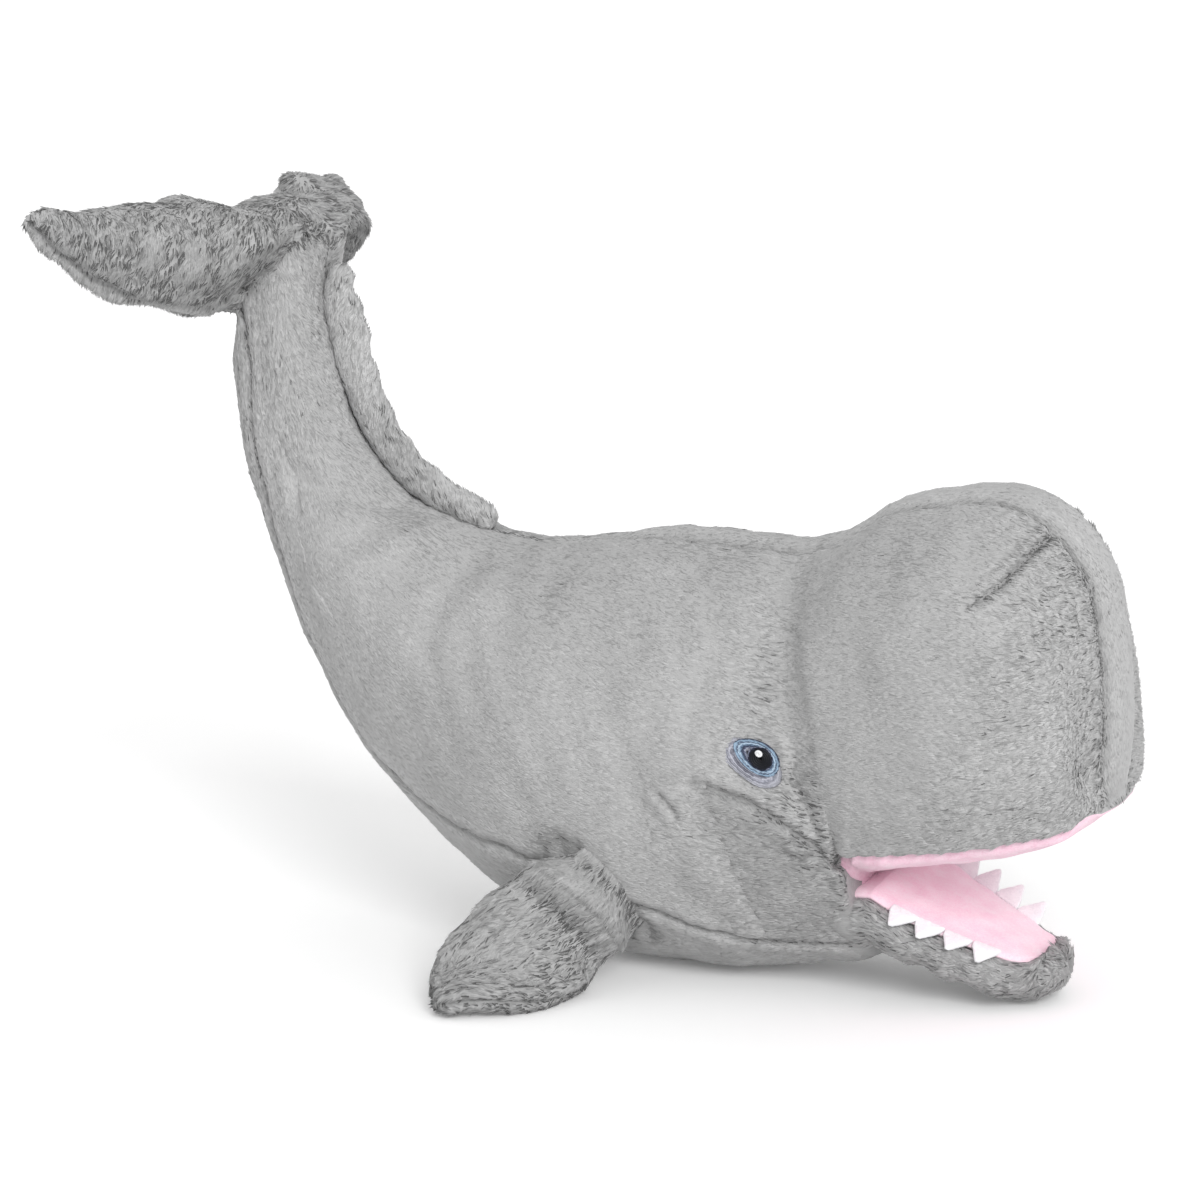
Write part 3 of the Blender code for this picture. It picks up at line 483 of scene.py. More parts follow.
# Torso: ribs from the lip to the end of the tail, in mm and shares of these sizes.
torsoShape = {
    "length": 342, "height": 252, "halfWidth": 60,
    # From lip to tail end. Each rib: back x and z, belly x and z as shares of length and
    # height, half width as a share, squareness of the upper and of the lower half.
    "ribs": [
        (0.987, 0.292, 0.984, 0.280, 0.33, 2.0, 2.2),
        (0.991, 0.341, 0.962, 0.250, 0.60, 2.3, 3.0),
        (0.991, 0.452, 0.915, 0.224, 0.78, 2.5, 3.6),
        (0.975, 0.570, 0.863, 0.202, 0.88, 2.5, 3.8),
        (0.932, 0.659, 0.813, 0.186, 0.93, 2.5, 3.8),
        (0.863, 0.694, 0.778, 0.174, 0.94, 2.4, 3.6),
        (0.781, 0.667, 0.757, 0.165, 0.90, 2.4, 3.2),
        (0.705, 0.616, 0.751, 0.153, 0.84, 2.3, 2.8),
        (0.652, 0.595, 0.763, 0.056, 0.84, 2.2, 2.3),
        (0.576, 0.599, 0.699, 0.022, 0.92, 2.2, 2.2),
        (0.474, 0.591, 0.599, -0.002, 1.00, 2.2, 2.1),
        (0.371, 0.575, 0.477, 0.004, 1.00, 2.2, 2.1),
        (0.284, 0.587, 0.360, 0.059, 0.90, 2.2, 2.1),
        (0.219, 0.623, 0.249, 0.167, 0.77, 2.2, 2.2),
        (0.173, 0.686, 0.158, 0.298, 0.63, 2.2, 2.2),
        (0.143, 0.762, 0.094, 0.444, 0.50, 2.2, 2.2),
        (0.126, 0.833, 0.050, 0.583, 0.42, 2.2, 2.2),
        (0.120, 0.901, 0.020, 0.718, 0.37, 2.2, 2.2),
        (0.140, 0.972, 0.003, 0.853, 0.34, 2.2, 2.2),
    ],
    # Place of the jaw's hinge as shares of length and height.
    "jawHinge": (0.760, 0.119),
    "gussetHalfWidth": 12.5,
    "gussetShares": [0.94, 0.94, 0.94, 0.96, 1.02, 1.04, 0.96, 0.8, 0.66, 0.52, 0.34, 0.12],
    "lipDegrees": [74, 112, 126, 132, 135, 135, 135, 138],
    "cheekDegrees": [139, 120, 107, 96, 90],
    # Belly seam as (station, degrees).
    "bellySeam": [(0, 160), (7, 162), (8, 151), (8.7, 146), (9.1, 144), (9.45, 139), (10.2, 127),
                  (11, 116), (11.5, 115), (11.9, 119), (12.7, 127), (13.7, 130), (14.7, 126),
                  (15.6, 119), (16.2, 114), (16.6, 110), (17.0, 107), (17.4, 110), (18, 122)],
    "mouthCorner": 7.0, "throat": 7.35, "cheekBack": 9.2, "gussetEnd": 10.85, "last": 18,
    "clothMm": 1.2, "groundMm": (0.5, 1.2), "pileInsetMm": 1.2, "seamDepthMm": 2.2,
    "seamWidthMm": 1.35,
    # Columns of the grid in the gusset, side, cheek or flank, and belly.
    "bandColumns": [6, 76, 34, 26],
    # Stitched seams: which edge of those bands, first and last station, fade, share of depth.
    "seams": [(0, 10.9, 18, 0.3, 0.5), (1, 0.4, 10.6, 0.4, 1.1), (2, 7.0, 9.3, 0.2, 0.9),
              (2, -1, 6.9, 0.1, 0.7), (3, 7.3, 18, 0.2, 1.0)],
    # Gathers along each seam: height, length of one and reach in mm.
    "gathersMm": (0.3, 7, 4.5),
    # Lumps of the filling: height and size in mm, and a seed.
    "lumps": [(0.7, 46, 11), (0.3, 17, 12)],
    # The front corners draw in: depth in mm, middle and width in degrees. The strip between
    # them stands up by the crown.
    "frontSink": (3.5, 36, 20), "crownMm": 3.2,
}
length, height = torsoShape["length"] * mm, torsoShape["height"] * mm
halfWidth = torsoShape["halfWidth"] * mm
jawHinge = hingePlace("jaw_hinge")
rootPlace = np.array([jawHinge[0] - torsoShape["jawHinge"][0] * length, 0,
                      jawHinge[2] - torsoShape["jawHinge"][1] * height])


def torsoPoint(station, angle):
    # Superellipse rib. Angle 0 is the back, pi the belly, and 0 to pi runs down the right.
    station, angle = paired(station, angle)
    rib = splineRows(torsoShape["ribs"], station)
    back = np.stack([rib[..., 0] * length, rib[..., 1] * height], -1)
    belly = np.stack([rib[..., 2] * length, rib[..., 3] * height], -1)
    rise, reach = np.cos(angle), np.sin(angle)
    power = 2 / np.where(rise >= 0, rib[..., 5], rib[..., 6])
    spine = (back + belly) / 2 + (back - belly) / 2 * signedPower(rise, power)[..., None]
    across = -rib[..., 4] * halfWidth * signedPower(reach, power)
    return rootPlace + np.stack([spine[..., 0], across, spine[..., 1]], -1)


torsoSurface = roundEnds(torsoPoint, torsoShape["last"], 1.5 * mm, 2.5 * mm)

# The cloth is pressed level under the eye and sinks round the flipper's root.
eyeSpot = {"station": 8.5, "degrees": 84.8, "levelMm": -2.2, "reachMm": 13, "fadeMm": 4}
eyeCentre = torsoPoint(eyeSpot["station"], math.radians(eyeSpot["degrees"]))
flipperRoot = {"radius": 11, "halfChord": 21.5, "axis": (0.556, 0.40, -0.733),
               "sinkMm": 1.6, "sinkReachMm": 7, "gatherMm": 0.5, "gatherLengthMm": 9}
flipperHinge = hingePlace("flipper_right_hinge")


def flipperRootDistance(points):
    # Millimetres from the middle line of the rolled root of the right flipper.
    axis = unit(flipperRoot["axis"])
    offset = points - flipperHinge
    reach = flipperRoot["halfChord"] * mm
    along = np.clip(offset @ axis, -0.7 * reach, reach)
    return np.linalg.norm(offset - along[..., None] * axis, axis=-1) / mm


def headSeam(station):
    # Angle at which the superellipse rib is as wide as the gusset.
    shares = splineRows(torsoShape["gussetShares"], station)
    rib = splineRows(torsoShape["ribs"], station)
    width = shares * torsoShape["gussetHalfWidth"] * mm / (rib[..., 4] * halfWidth)
    return np.arcsin(clamp(width) ** (rib[..., 5] / 2))


def middleSeam(station):
    # Lip edge as far as the corner of the mouth, then the cheek seam, then on along the flank.
    lip = splineRows(torsoShape["lipDegrees"], station)
    corner, back = torsoShape["mouthCorner"], torsoShape["cheekBack"]
    share = clamp((station - corner) / (back - corner))
    cheek = splineRows(torsoShape["cheekDegrees"], share * (len(torsoShape["cheekDegrees"]) - 1))
    return np.radians(np.where(station < corner, lip, cheek))


def bellySeam(station):
    # Straight runs between the points of the table.
    table = np.array(torsoShape["bellySeam"], float)
    return np.radians(np.interp(station, table[:, 0], table[:, 1]))


# Soft folds and darts, each a line across the ribs through (degrees, station) points, with
# its height and width in mm. A minus height is a valley.
torsoFolds = [
    # First the neck, the swell in front of it and the crease under the eye.
    {"line": [(22, 7.8), (39, 7.72), (64, 8.05), (78, 8.22), (92, 8.15), (100, 7.98), (116, 7.55)],
     "height": -1.5, "width": 11.0, "fade": 18},
    {"line": [(12, 6.2), (33, 6.5), (54, 6.75), (81, 7.0), (100, 7.0), (130, 6.8)],
     "height": 2.3, "width": 12.0, "fade": 16},
    {"line": [(88, 8.2), (96, 8.06), (104, 7.86), (118, 7.46), (132, 7.12)],
     "height": -2.2, "width": 3.2, "fade": 9},
    {"line": [(22, 9.10), (53, 8.80), (70, 9.12), (82, 9.34)],
     "height": -1.2, "width": 5.0, "fade": 14},
    {"line": [(24, 9.7), (55, 9.45), (76, 9.9)], "height": 0.9, "width": 7.0, "fade": 14},
    {"line": [(12, 13.0), (18, 13.14), (43, 13.99), (81, 15.15)],
     "height": -3.0, "width": 5.5, "fade": 14},
    {"line": [(20, 12.4), (50, 13.1), (90, 14.2)], "height": 2.2, "width": 7.0, "fade": 14},
    {"line": [(26, 11.6), (46, 11.84), (63, 12.09)], "height": -1.4, "width": 6.0, "fade": 12},
    {"line": [(84, 9.9), (110, 10.0), (130, 9.6)], "height": -1.0, "width": 6.0, "fade": 12},
]
# Stitched darts, laid out in the same way.
torsoDarts = [
    {"line": [(13, 3.96), (30, 4.03), (44, 4.15), (53, 4.31), (58, 4.46)], "depth": 2.3, "fade": 4},
    {"line": [(91.6, 9.70), (93, 9.64), (96.5, 9.56)], "depth": 1.6, "fade": 1.5},
]


def torsoGrid():
    # The right half from back to belly, in four bands of columns whose edges are the seams:
    # head gusset, side, cheek or flank, belly. Rows lie closer where the folds are fine.
    probe = np.linspace(0, torsoShape["last"], 721)
    line = torsoPoint(probe, np.full(721, math.pi / 2))
    step = np.linalg.norm(np.diff(line, axis=0), axis=1) / mm
    spacing = np.interp(probe, [0, 0.7, 1.2, 3.5, 3.8, 4.7, 5.0, 7.3, 8.6, 9.6, 17.2, 18],
                        [0.8, 1.0, 1.6, 1.6, 0.8, 0.8, 1.6, 1.2, 1.2, 1.8, 1.8, 1.0])
    rows = np.concatenate([[0], np.cumsum(step / spacing[1:])])
    stations = np.interp(np.arange(0, rows[-1]), rows, probe)
    fixed = [torsoShape[key] for key in ("mouthCorner", "cheekBack", "gussetEnd", "last")]
    for value in fixed:
        stations[np.abs(stations - value).argmin()] = value
    ending = torsoShape["last"] + np.sin(np.linspace(0.25, math.pi / 2 - 0.02, 7))
    stations = np.concatenate([[-0.999, -0.9, -0.5], np.unique(stations), ending])
    edges = [np.zeros_like(stations), headSeam(stations), middleSeam(stations), bellySeam(stations),
             np.full_like(stations, math.pi)]
    edges[3] = np.maximum(edges[3], edges[2] + 0.05)
    bands = torsoShape["bandColumns"]
    columns = [edges[0][:, None]]
    for first, last, count in zip(edges, edges[1:], bands):
        share = clustered(count, 0.7)[1:]
        columns.append(first[:, None] + (last - first)[:, None] * share)
    return stations, np.concatenate(columns, 1), edges, np.cumsum([0] + bands)


stations, angles, seamAngles, bandEnds = torsoGrid()
stationGrid = np.broadcast_to(stations[:, None], angles.shape)
basePoints = torsoSurface(stationGrid, angles)
alongRib = (torsoPoint(stationGrid, angles + 0.01) - torsoPoint(stationGrid, angles - 0.01)) / 0.02
acrossRib = (torsoPoint(np.minimum(stationGrid + 0.02, torsoShape["last"]), angles)
             - torsoPoint(np.maximum(stationGrid - 0.02, 0), angles)) / 0.04
baseNormals = gridNormals(basePoints, basePoints - basePoints.mean((0, 1)))
arcLength = lengthsAlong(basePoints, 0)


def seamDistance(edge):
    # Millimetres from each grid point to a seam that runs along the ribs' ends, measured
    # square to the seam.
    slope = np.gradient(edge, stations)
    run = unit(acrossRib + alongRib * slope[:, None, None])
    return (angles - edge[:, None]) * np.linalg.norm(np.cross(run, alongRib), axis=-1) / mm


def groove(distance, depth, width):
    # A stitched seam: a narrow valley with a low swell on both sides.
    swell = 0.3 * depth * hump(np.abs(distance), 3.4 * width, 1.7 * width)
    return -depth * hump(distance, 0, width) + swell


def lineDistance(line):
    # Millimetres from a line that runs across the ribs through (degrees, station) points.
    line = np.array(line, float)
    centre = np.interp(np.degrees(angles), line[:, 0], line[:, 1])
    turn = np.gradient(centre, axis=1) / np.maximum(np.gradient(angles, axis=1), 1e-6)
    run = unit(alongRib + acrossRib * turn[..., None])
    square = np.linalg.norm(np.cross(run, acrossRib), axis=-1) / mm
    return (stationGrid - centre) * square


def torsoRelief():
    # Height in mm over the plain form, and the distance in mm to the nearest stitching.
    degrees = np.degrees(angles)
    deep, wide = torsoShape["seamDepthMm"], torsoShape["seamWidthMm"]
    relief = sum(high * softNoise(basePoints, size * mm, seed)
                 for high, size, seed in torsoShape["lumps"])
    relief -= torsoShape["pileInsetMm"]
    depth, middle, spread = torsoShape["frontSink"]
    relief -= depth * hump(degrees, middle, spread) * between(stationGrid, 0.4, 4.5, 1.2)
    nearest = np.full(angles.shape, 99.0)
    for fold in torsoFolds:
        distance = lineDistance(fold["line"])
        share = between(degrees, fold["line"][0][0], fold["line"][-1][0], fold["fade"])
        relief = relief + fold["height"] * hump(distance, 0, fold["width"]) * share
    strip = clamp(1 - (angles / np.maximum(seamAngles[1][:, None], 0.02)) ** 2)
    relief = relief + torsoShape["crownMm"] * strip * between(stationGrid, 0.3, 9.5, 1.0)
    seams = [(seamDistance(seamAngles[edge]), between(stationGrid, first, last, fade), deep * share)
             for edge, first, last, fade, share in torsoShape["seams"]]
    for dart in torsoDarts:
        share = between(degrees, dart["line"][0][0], dart["line"][-1][0], dart["fade"])
        seams.append((lineDistance(dart["line"]) * 1.3, share, dart["depth"]))
    high, pitch, reach = torsoShape["gathersMm"]
    pucker = np.sin(arcLength / pitch * 2 * math.pi + 2.5 * softNoise(basePoints, 30 * mm, 13))
    for distance, share, depth in seams:
        relief = relief + groove(distance, depth, wide) * share
        relief = relief + high * pucker * hump(distance, 0, reach) * share
        nearest = np.minimum(nearest, np.abs(distance) + 60 * (1 - share))
    reach = flipperRoot["sinkReachMm"]
    sink = clamp(1 - (flipperRootDistance(basePoints) - reach) / reach)
    gathers = np.sin(arcLength / flipperRoot["gatherLengthMm"] * 2 * math.pi)
    relief = relief - flipperRoot["sinkMm"] * sink**2 + flipperRoot["gatherMm"] * gathers * sink
    apart = np.linalg.norm(basePoints - eyeCentre, axis=-1) / mm
    level = smooth(clamp((eyeSpot["reachMm"] - apart) / eyeSpot["fadeMm"]))
    relief = relief * (1 - level) + eyeSpot["levelMm"] * level
    settled = clamp(stationGrid / 1.1) ** 1.5
    return relief * settled, nearest


reliefMm, seamMm = torsoRelief()
torsoSkin = basePoints + baseNormals * reliefMm[..., None] * mm


def overSlant(offset):
    # How far a point lies behind and above the slanting plane through the fluke's hinge.
    return (offset[..., 2] - offset[..., 0]) / math.sqrt(2)


def collarLine(out):
    # Where the fluke's cloth ends over the tail, in mm along the slant: a shallow V.
    return -6.5 + 4.5 * clamp(out / 18) ** 2


# The tail is cut off on a slant under the fluke. Its end rises further at the back than at
# the belly, and draws in to the round root of the fluke.
flukeHinge = hingePlace("fluke_hinge")
tailEnd = {"rootMm": 20.6, "riseMm": 13.0, "sideRiseMm": 1.5, "bellyFallMm": 9.0,
           "drawFromMm": -14, "drawOverMm": 8, "drawStation": 15}
rising = between(stationGrid, 18, 20, 1.5)
fromBack = (1 - np.cos(angles)) / 2
lift = tailEnd["riseMm"] + tailEnd["sideRiseMm"] * np.sin(angles)
torsoSkin[..., 2] += (lift - tailEnd["bellyFallMm"] * fromBack) * mm * rising
fromHinge = torsoSkin - flukeHinge
slant = overSlant(fromHinge) / mm
away = np.linalg.norm(fromHinge[..., ::2], axis=-1) / mm
drawn = clamp((slant - tailEnd["drawFromMm"]) / tailEnd["drawOverMm"])
drawn = drawn * (stationGrid > tailEnd["drawStation"])
factor = 1 - drawn * np.clip(away - tailEnd["rootMm"], 0, None) / np.maximum(away, 1)
torsoSkin[..., 0] = flukeHinge[0] + fromHinge[..., 0] * factor
torsoSkin[..., 2] = flukeHinge[2] + fromHinge[..., 2] * factor
lowest = torsoSkin[..., 2].min()
# Under the belly both sides of the cloth lie flat on the ground.
torsoSkin[..., 2] = np.maximum(torsoSkin[..., 2], torsoShape["groundMm"][0] * mm)
torsoInner = torsoSkin - baseNormals * torsoShape["clothMm"] * mm
torsoInner[..., 2] = np.maximum(torsoInner[..., 2], torsoShape["groundMm"][1] * mm)
torsoNormals = gridNormals(torsoSkin, baseNormals)
torsoUv = np.stack([arcLength, lengthsAlong(basePoints, 1)], -1)


def coatLook():
    # Ruffled in front beside the gusset, in the neck fold, on the cheek and up the tail.
    # Painted shade darkens the pile beside the gusset and along its seam and the dart, in the
    # neck fold and the crease under the eye, on the cheek, up the tail, round the flipper's
    # root and under the fluke's edge; painted light makes the gusset's strip lighter. The pile
    # is also darker in a band across the back near the front of the ridge.
    degrees = np.degrees(angles)
    front = between(stationGrid, -1, 3.0, 2.0) * between(degrees, 0, 118, 30)
    gussetSeam = seamDistance(seamAngles[1])
    besideGusset = hump(gussetSeam, 9, 9) * between(stationGrid, -1, 3.6, 1)
    neck = hump(lineDistance(torsoFolds[0]["line"]), 4, 9) * between(degrees, 50, 140, 20)
    underEye = hump(lineDistance(torsoFolds[2]["line"]), 0, 6) * between(degrees, 90, 132, 8)
    cheek = between(stationGrid, 7.2, 9.3, 0.8) * between(degrees, 98, 160, 12)
    tail = clamp((stationGrid - 13.5) / 3)
    rough = 0.7 + 0.85 * np.clip(front + 0.8 * neck + 0.6 * cheek + 0.7 * tail, 0, 1.1)
    flank = hump(stationGrid, 12.6, 1.2) * between(degrees, 0, 20, 20)
    besideFlipper = hump(flipperRootDistance(basePoints), 8.5, 4)
    underLine = slant - collarLine(np.abs(torsoSkin[..., 1]) / mm)
    underFluke = hump(underLine, -1.2, 2.0) * (stationGrid > 16)
    shade = (0.12 + 0.45 * besideGusset + 0.3 * neck + 0.5 * underEye + 0.2 * cheek + 0.45 * tail
             + 0.4 * flank)
    reach = np.where(gussetSeam < 0, 1.2, 3.0)
    seamPile = hump(gussetSeam, 0, reach) * between(stationGrid, 0.3, 6, 1.5)
    dartPile = hump(lineDistance(torsoDarts[0]["line"]), 0, 3) * between(degrees, 14, 58, 4)
    strip = clamp(-gussetSeam / 1.5) * between(stationGrid, -1, 6, 2.0)
    shade = shade + 1.3 * besideFlipper + 2.4 * underFluke + 1.3 * seamPile + dartPile - 0.5 * strip
    # Painted shade on top and painted light underneath: the pile is darker where the surface
    # faces up and lighter where it faces down.
    shade = shade + 0.4 * baseNormals[..., 2]
    return rough + (0.6 - rough) * strip, shade


torsoGuide = np.stack([torsoUv[..., 0], torsoUv[..., 1], seamMm, *coatLook()], -1)

# Which way the pile is brushed, as world X and Z by station; it is laid on the surface later.
napTable = np.array([(0, -1, -0.30), (2, -1, -0.18), (4, -1, -0.02), (6, -1, 0.06), (8, -1, 0.10),
                     (10, -1, 0.28), (12, -0.85, 0.5), (13.5, -0.7, 0.75), (15, -0.35, 1),
                     (16.5, -0.15, 1), (19, -0.05, 1)])
torsoNap = np.stack([np.interp(stationGrid, napTable[:, 0], napTable[:, 1]),
                     np.zeros_like(stationGrid),
                     np.interp(stationGrid, napTable[:, 0], napTable[:, 2])], -1)
# In front the pile is brushed round the corner, away from the strip.
torsoNap[..., 1] = -1.2 * clamp(baseNormals[..., 0]) ** 2
# The strip's own pile runs along it, down to the lip.
gussetNap = -unit(acrossRib)
print("torso grid", torsoSkin.shape, "lowest point mm", round(float(lowest / mm), 2))

rowMiddle = (stations[:-1] + stations[1:])[:, None] / 2
columnCell = np.arange(angles.shape[1] - 1)[None, :]
inBand = [(columnCell >= first) & (columnCell < last) for first, last in zip(bandEnds, bandEnds[1:])]
headPart = rowMiddle < torsoShape["mouthCorner"]
behindCheek = rowMiddle > torsoShape["cheekBack"]
keptCells = {
    "gusset": inBand[0] & (rowMiddle < torsoShape["gussetEnd"]),
    "side": inBand[1] | (inBand[0] & (rowMiddle > torsoShape["gussetEnd"])) | (inBand[2] & behindCheek),
    "cheek": inBand[2] & ~headPart & ~behindCheek,
    "palate": (inBand[2] & headPart) | (inBand[3] & (rowMiddle < torsoShape["throat"])),
    "belly": inBand[3] & (rowMiddle > torsoShape["throat"]),
}


def overBack(values, flip=None):
    # Both halves of a grid side by side, joined along the middle of the back.
    other = values[:, :0:-1] if flip is None else values[:, :0:-1] * flip
    return np.concatenate([other, values], 1)


def underBelly(values, flip=None):
    # The same along the middle of the belly.
    other = values[:, -2::-1] if flip is None else values[:, -2::-1] * flip
    return np.concatenate([values, other], 1)


# No pile grows inside the mouth, under the eye, under the flippers' roots or inside the
# fluke. The numbers are metres for the mouth, then mm, then a station.
bareSpots = {"mouth": (0.094, 0.038, 0.046), "eyeMm": 7.5, "flipperMm": 4.5, "tail": 18.5}
middlePoints = (torsoSkin[:-1, :-1] + torsoSkin[1:, 1:]) / 2
behind, beside, over = bareSpots["mouth"]
bare = ((middlePoints[..., 0] > behind) & (np.abs(middlePoints[..., 1]) < beside)
        & (middlePoints[..., 2] < over))
bare |= np.linalg.norm(middlePoints - eyeCentre, axis=-1) < bareSpots["eyeMm"] * mm
bare |= (flipperRootDistance(middlePoints) < bareSpots["flipperMm"]) | (rowMiddle > bareSpots["tail"])


def torsoPiece(name, kind, layout, material, seed, node, slotName, pileChanges):
    # Cuts one panel out of the torso grid and grows its pile, if it has any.
    kept = keptCells[kind]
    turn = {"right": lambda v, f=None: v, "left": lambda v, f=None: v if f is None else v * f,
            "back": overBack, "belly": underBelly}[layout]
    outer, inner = turn(torsoSkin, mirror), turn(torsoInner, mirror)
    normals = turn(torsoNormals, mirror)
    nap = turn(gussetNap if kind == "gusset" else torsoNap, mirror)
    uv, guide = turn(torsoUv), turn(torsoGuide)
    cells = {"back": lambda v: np.concatenate([v[:, ::-1], v], 1),
             "belly": lambda v: np.concatenate([v, v[:, ::-1]], 1)}.get(layout, lambda v: v)
    panel = clothPanel(name, outer, inner, cells(kept), uv, material)
    assign(panel, "torso", node)
    if pileChanges is not None:
        # The cheeks take the darker copy of the pile, painted shade.
        tones = shadedPile if kind == "cheek" else greyPile
        growPile(name + "Pile", outer, normals, nap, cells(kept & ~bare), guide, seed, "torso",
                 slotName, tones, **pileChanges)


stripPile = {"seamShade": 0.4, "seamGapMm": 0.4, "tuftsPerSquareMm": 2.2}
torsoPanels = [
    ("sidePanelRight", "side", "right", greyBacking, 100, "side_panel_right", "gray_plush", {}),
    ("sidePanelLeft", "side", "left", greyBacking, 200, "side_panel_left", "gray_plush", {}),
    # The cheek panels take the darker copy of the backing, painted shade.
    ("cheekPanelRight", "cheek", "right", shadedBacking, 300, "cheek_panel_right",
     "dark_gray_plush", {}),
    ("cheekPanelLeft", "cheek", "left", shadedBacking, 400, "cheek_panel_left",
     "dark_gray_plush", {}),
    ("headGusset", "gusset", "back", greyBacking, 500, "head_gusset", "gray_plush", stripPile),
    ("bellyGusset", "belly", "belly", greyBacking, 600, "belly_gusset", "gray_plush", {}),
    ("palateLining", "palate", "belly", pinkFleece, 700, "palate_lining", "pink_fleece", None),
]
for panelRow in torsoPanels:
    torsoPiece(*panelRow)
print("torso panels done")


def fibreMass(name, surface, first, last, insetMm, body, node, seed):
    # Loose fibre stuffing: the same form drawn in from the cloth, its ends shrunk to a
    # point, with lumps 12 mm across.
    share = np.linspace(0, 1, 40)
    along = first + (last - first) * share
    rings = surface(along[:, None], fullTurn(48)[None, :])
    centre = rings.mean(1, keepdims=True)
    size = np.linalg.norm(rings - centre, axis=-1, keepdims=True)
    shrink = 1 - insetMm * mm / np.maximum(size, insetMm * 2 * mm)
    ends = np.sqrt(clamp(1 - np.abs(2 * share - 1) ** 16))[:, None, None]
    rings = centre + (rings - centre) * shrink * np.maximum(ends, 0.02)
    rings += unit(rings - centre) * 0.5 * mm * softNoise(rings, 12 * mm, seed)[..., None]
    assign(tubeMesh(name, rings, fibreFill), body, node)


fibreMass("headFibre", torsoPoint, 1.6, 6.5, 14, "torso", "head_filling", 31)
fibreMass("bodyFibre", torsoPoint, 7.9, 12.9, 12, "torso", "body_filling", 32)
fibreMass("tailFibre", torsoPoint, 13.1, 17.0, 7, "torso", "tail_filling", 33)


# Ridge on the tail, from and to which rib, with its height at even steps.
ridgeShape = {
    "start": 11.85, "end": 17.35, "heightMm": 14, "halfThicknessMm": 3.6, "leanMm": 2.5,
    "heights": [0.66, 0.93, 1.00, 1.00, 0.96, 0.94, 0.90, 0.62],
    "rippleMm": 0.5, "squareness": 2.3,
}


def makeRidge():
    # A stuffed flap along the back: superellipse sections that stand on the middle seam,
    # with a wavy outer edge.
    last = len(ridgeShape["heights"]) - 1

    def flap(station, angle):
        along = ridgeShape["start"] + (ridgeShape["end"] - ridgeShape["start"]) * station / last
        base = torsoPoint(along, 0)
        run = unit(torsoPoint(along + 0.03, 0) - torsoPoint(along - 0.03, 0))
        outward = np.stack([-run[..., 2], np.zeros_like(along), run[..., 0]], -1)
        outward = outward * np.sign(outward[..., :1] + 1e-9)
        tall = splineRows(ridgeShape["heights"], station) * ridgeShape["heightMm"]
        tall = tall + ridgeShape["rippleMm"] * np.sin(station * 6.4)
        power = 2 / ridgeShape["squareness"]
        share = (1 + signedPower(np.cos(angle), power)) / 2
        taper = 1.15 - 0.45 * share
        across = np.zeros_like(base)
        across[..., 1] = (-ridgeShape["halfThicknessMm"] * taper * signedPower(np.sin(angle), power)
                          - ridgeShape["leanMm"] * share**2 * np.sin(station * 0.9 - 0.4))
        return base + (outward * (tall * share - 1.5)[..., None] + across) * mm

    closed = roundEnds(flap, last, 5 * mm, 4 * mm)
    rows = np.concatenate([-np.cos(np.linspace(0.03, 1.4, 7)), np.linspace(0, last, 100),
                           last + np.sin(np.linspace(0.2, math.pi / 2 - 0.03, 6))])
    turns = np.linspace(0, 2 * math.pi, 65)
    grid = closed(rows[:, None], turns[None, :])
    normals = gridNormals(grid, grid - grid.mean(1, keepdims=True))
    dents = 0.2 * softNoise(grid, 11 * mm, 81)
    grid = grid + normals * dents[..., None] * mm
    grid[:, -1] = grid[:, 0]
    lengths = np.stack([lengthsAlong(grid, 0), lengthsAlong(grid, 1)], -1)
    flapMesh = tubeMesh("dorsalRidge", grid[:, :-1], greyBacking, lengths[:, :-1])
    assign(flapMesh, "torso", "dorsal_ridge")
    nap = unit(np.gradient(grid, axis=0)) * 0.75 + np.array([0.45, 0, 0.35])
    # The seam runs along the foot of the flap, at half a turn.
    seam = np.broadcast_to(np.abs(turns - math.pi) * 7, grid.shape[:2])
    guide = coatGuide(np.concatenate([lengths, seam[..., None]], -1), 1.7, 0.3)
    growPile("dorsalRidgePile", grid, normals, nap, True, guide, 800, "torso", "gray_plush",
             greyPile)


makeRidge()
print("ridge done")


eyeShape = {
    "tiltDegrees": 34,
    # Metres by which the highlight sits further forward and up, alike on both eyes.
    "highlightShift": (0.0004, 0, 0.0009),
    # Half lengths along and across the slant, how far the area's own middle sits along and
    # across it, the share left open inside, rings of thread, and lift, dome and swell in mm.
    "eyelid": (10.9, 6.2, -0.8, 1.9, 0.40, 7, 0.5, 0.5, 0.45),
    "iris": (8.3, 5.2, 0.0, -0.3, 0.5, 5, 0.9, 0.5, 0.35),
    "pupil": (4.7, 4.0, 0.7, -0.5, 0.02, 6, 1.3, 0.5, 0.16),
    "highlight": (1.35, 1.1, -0.6, -0.6, 0.02, 1, 2.0, 0.3, 0.0),
}


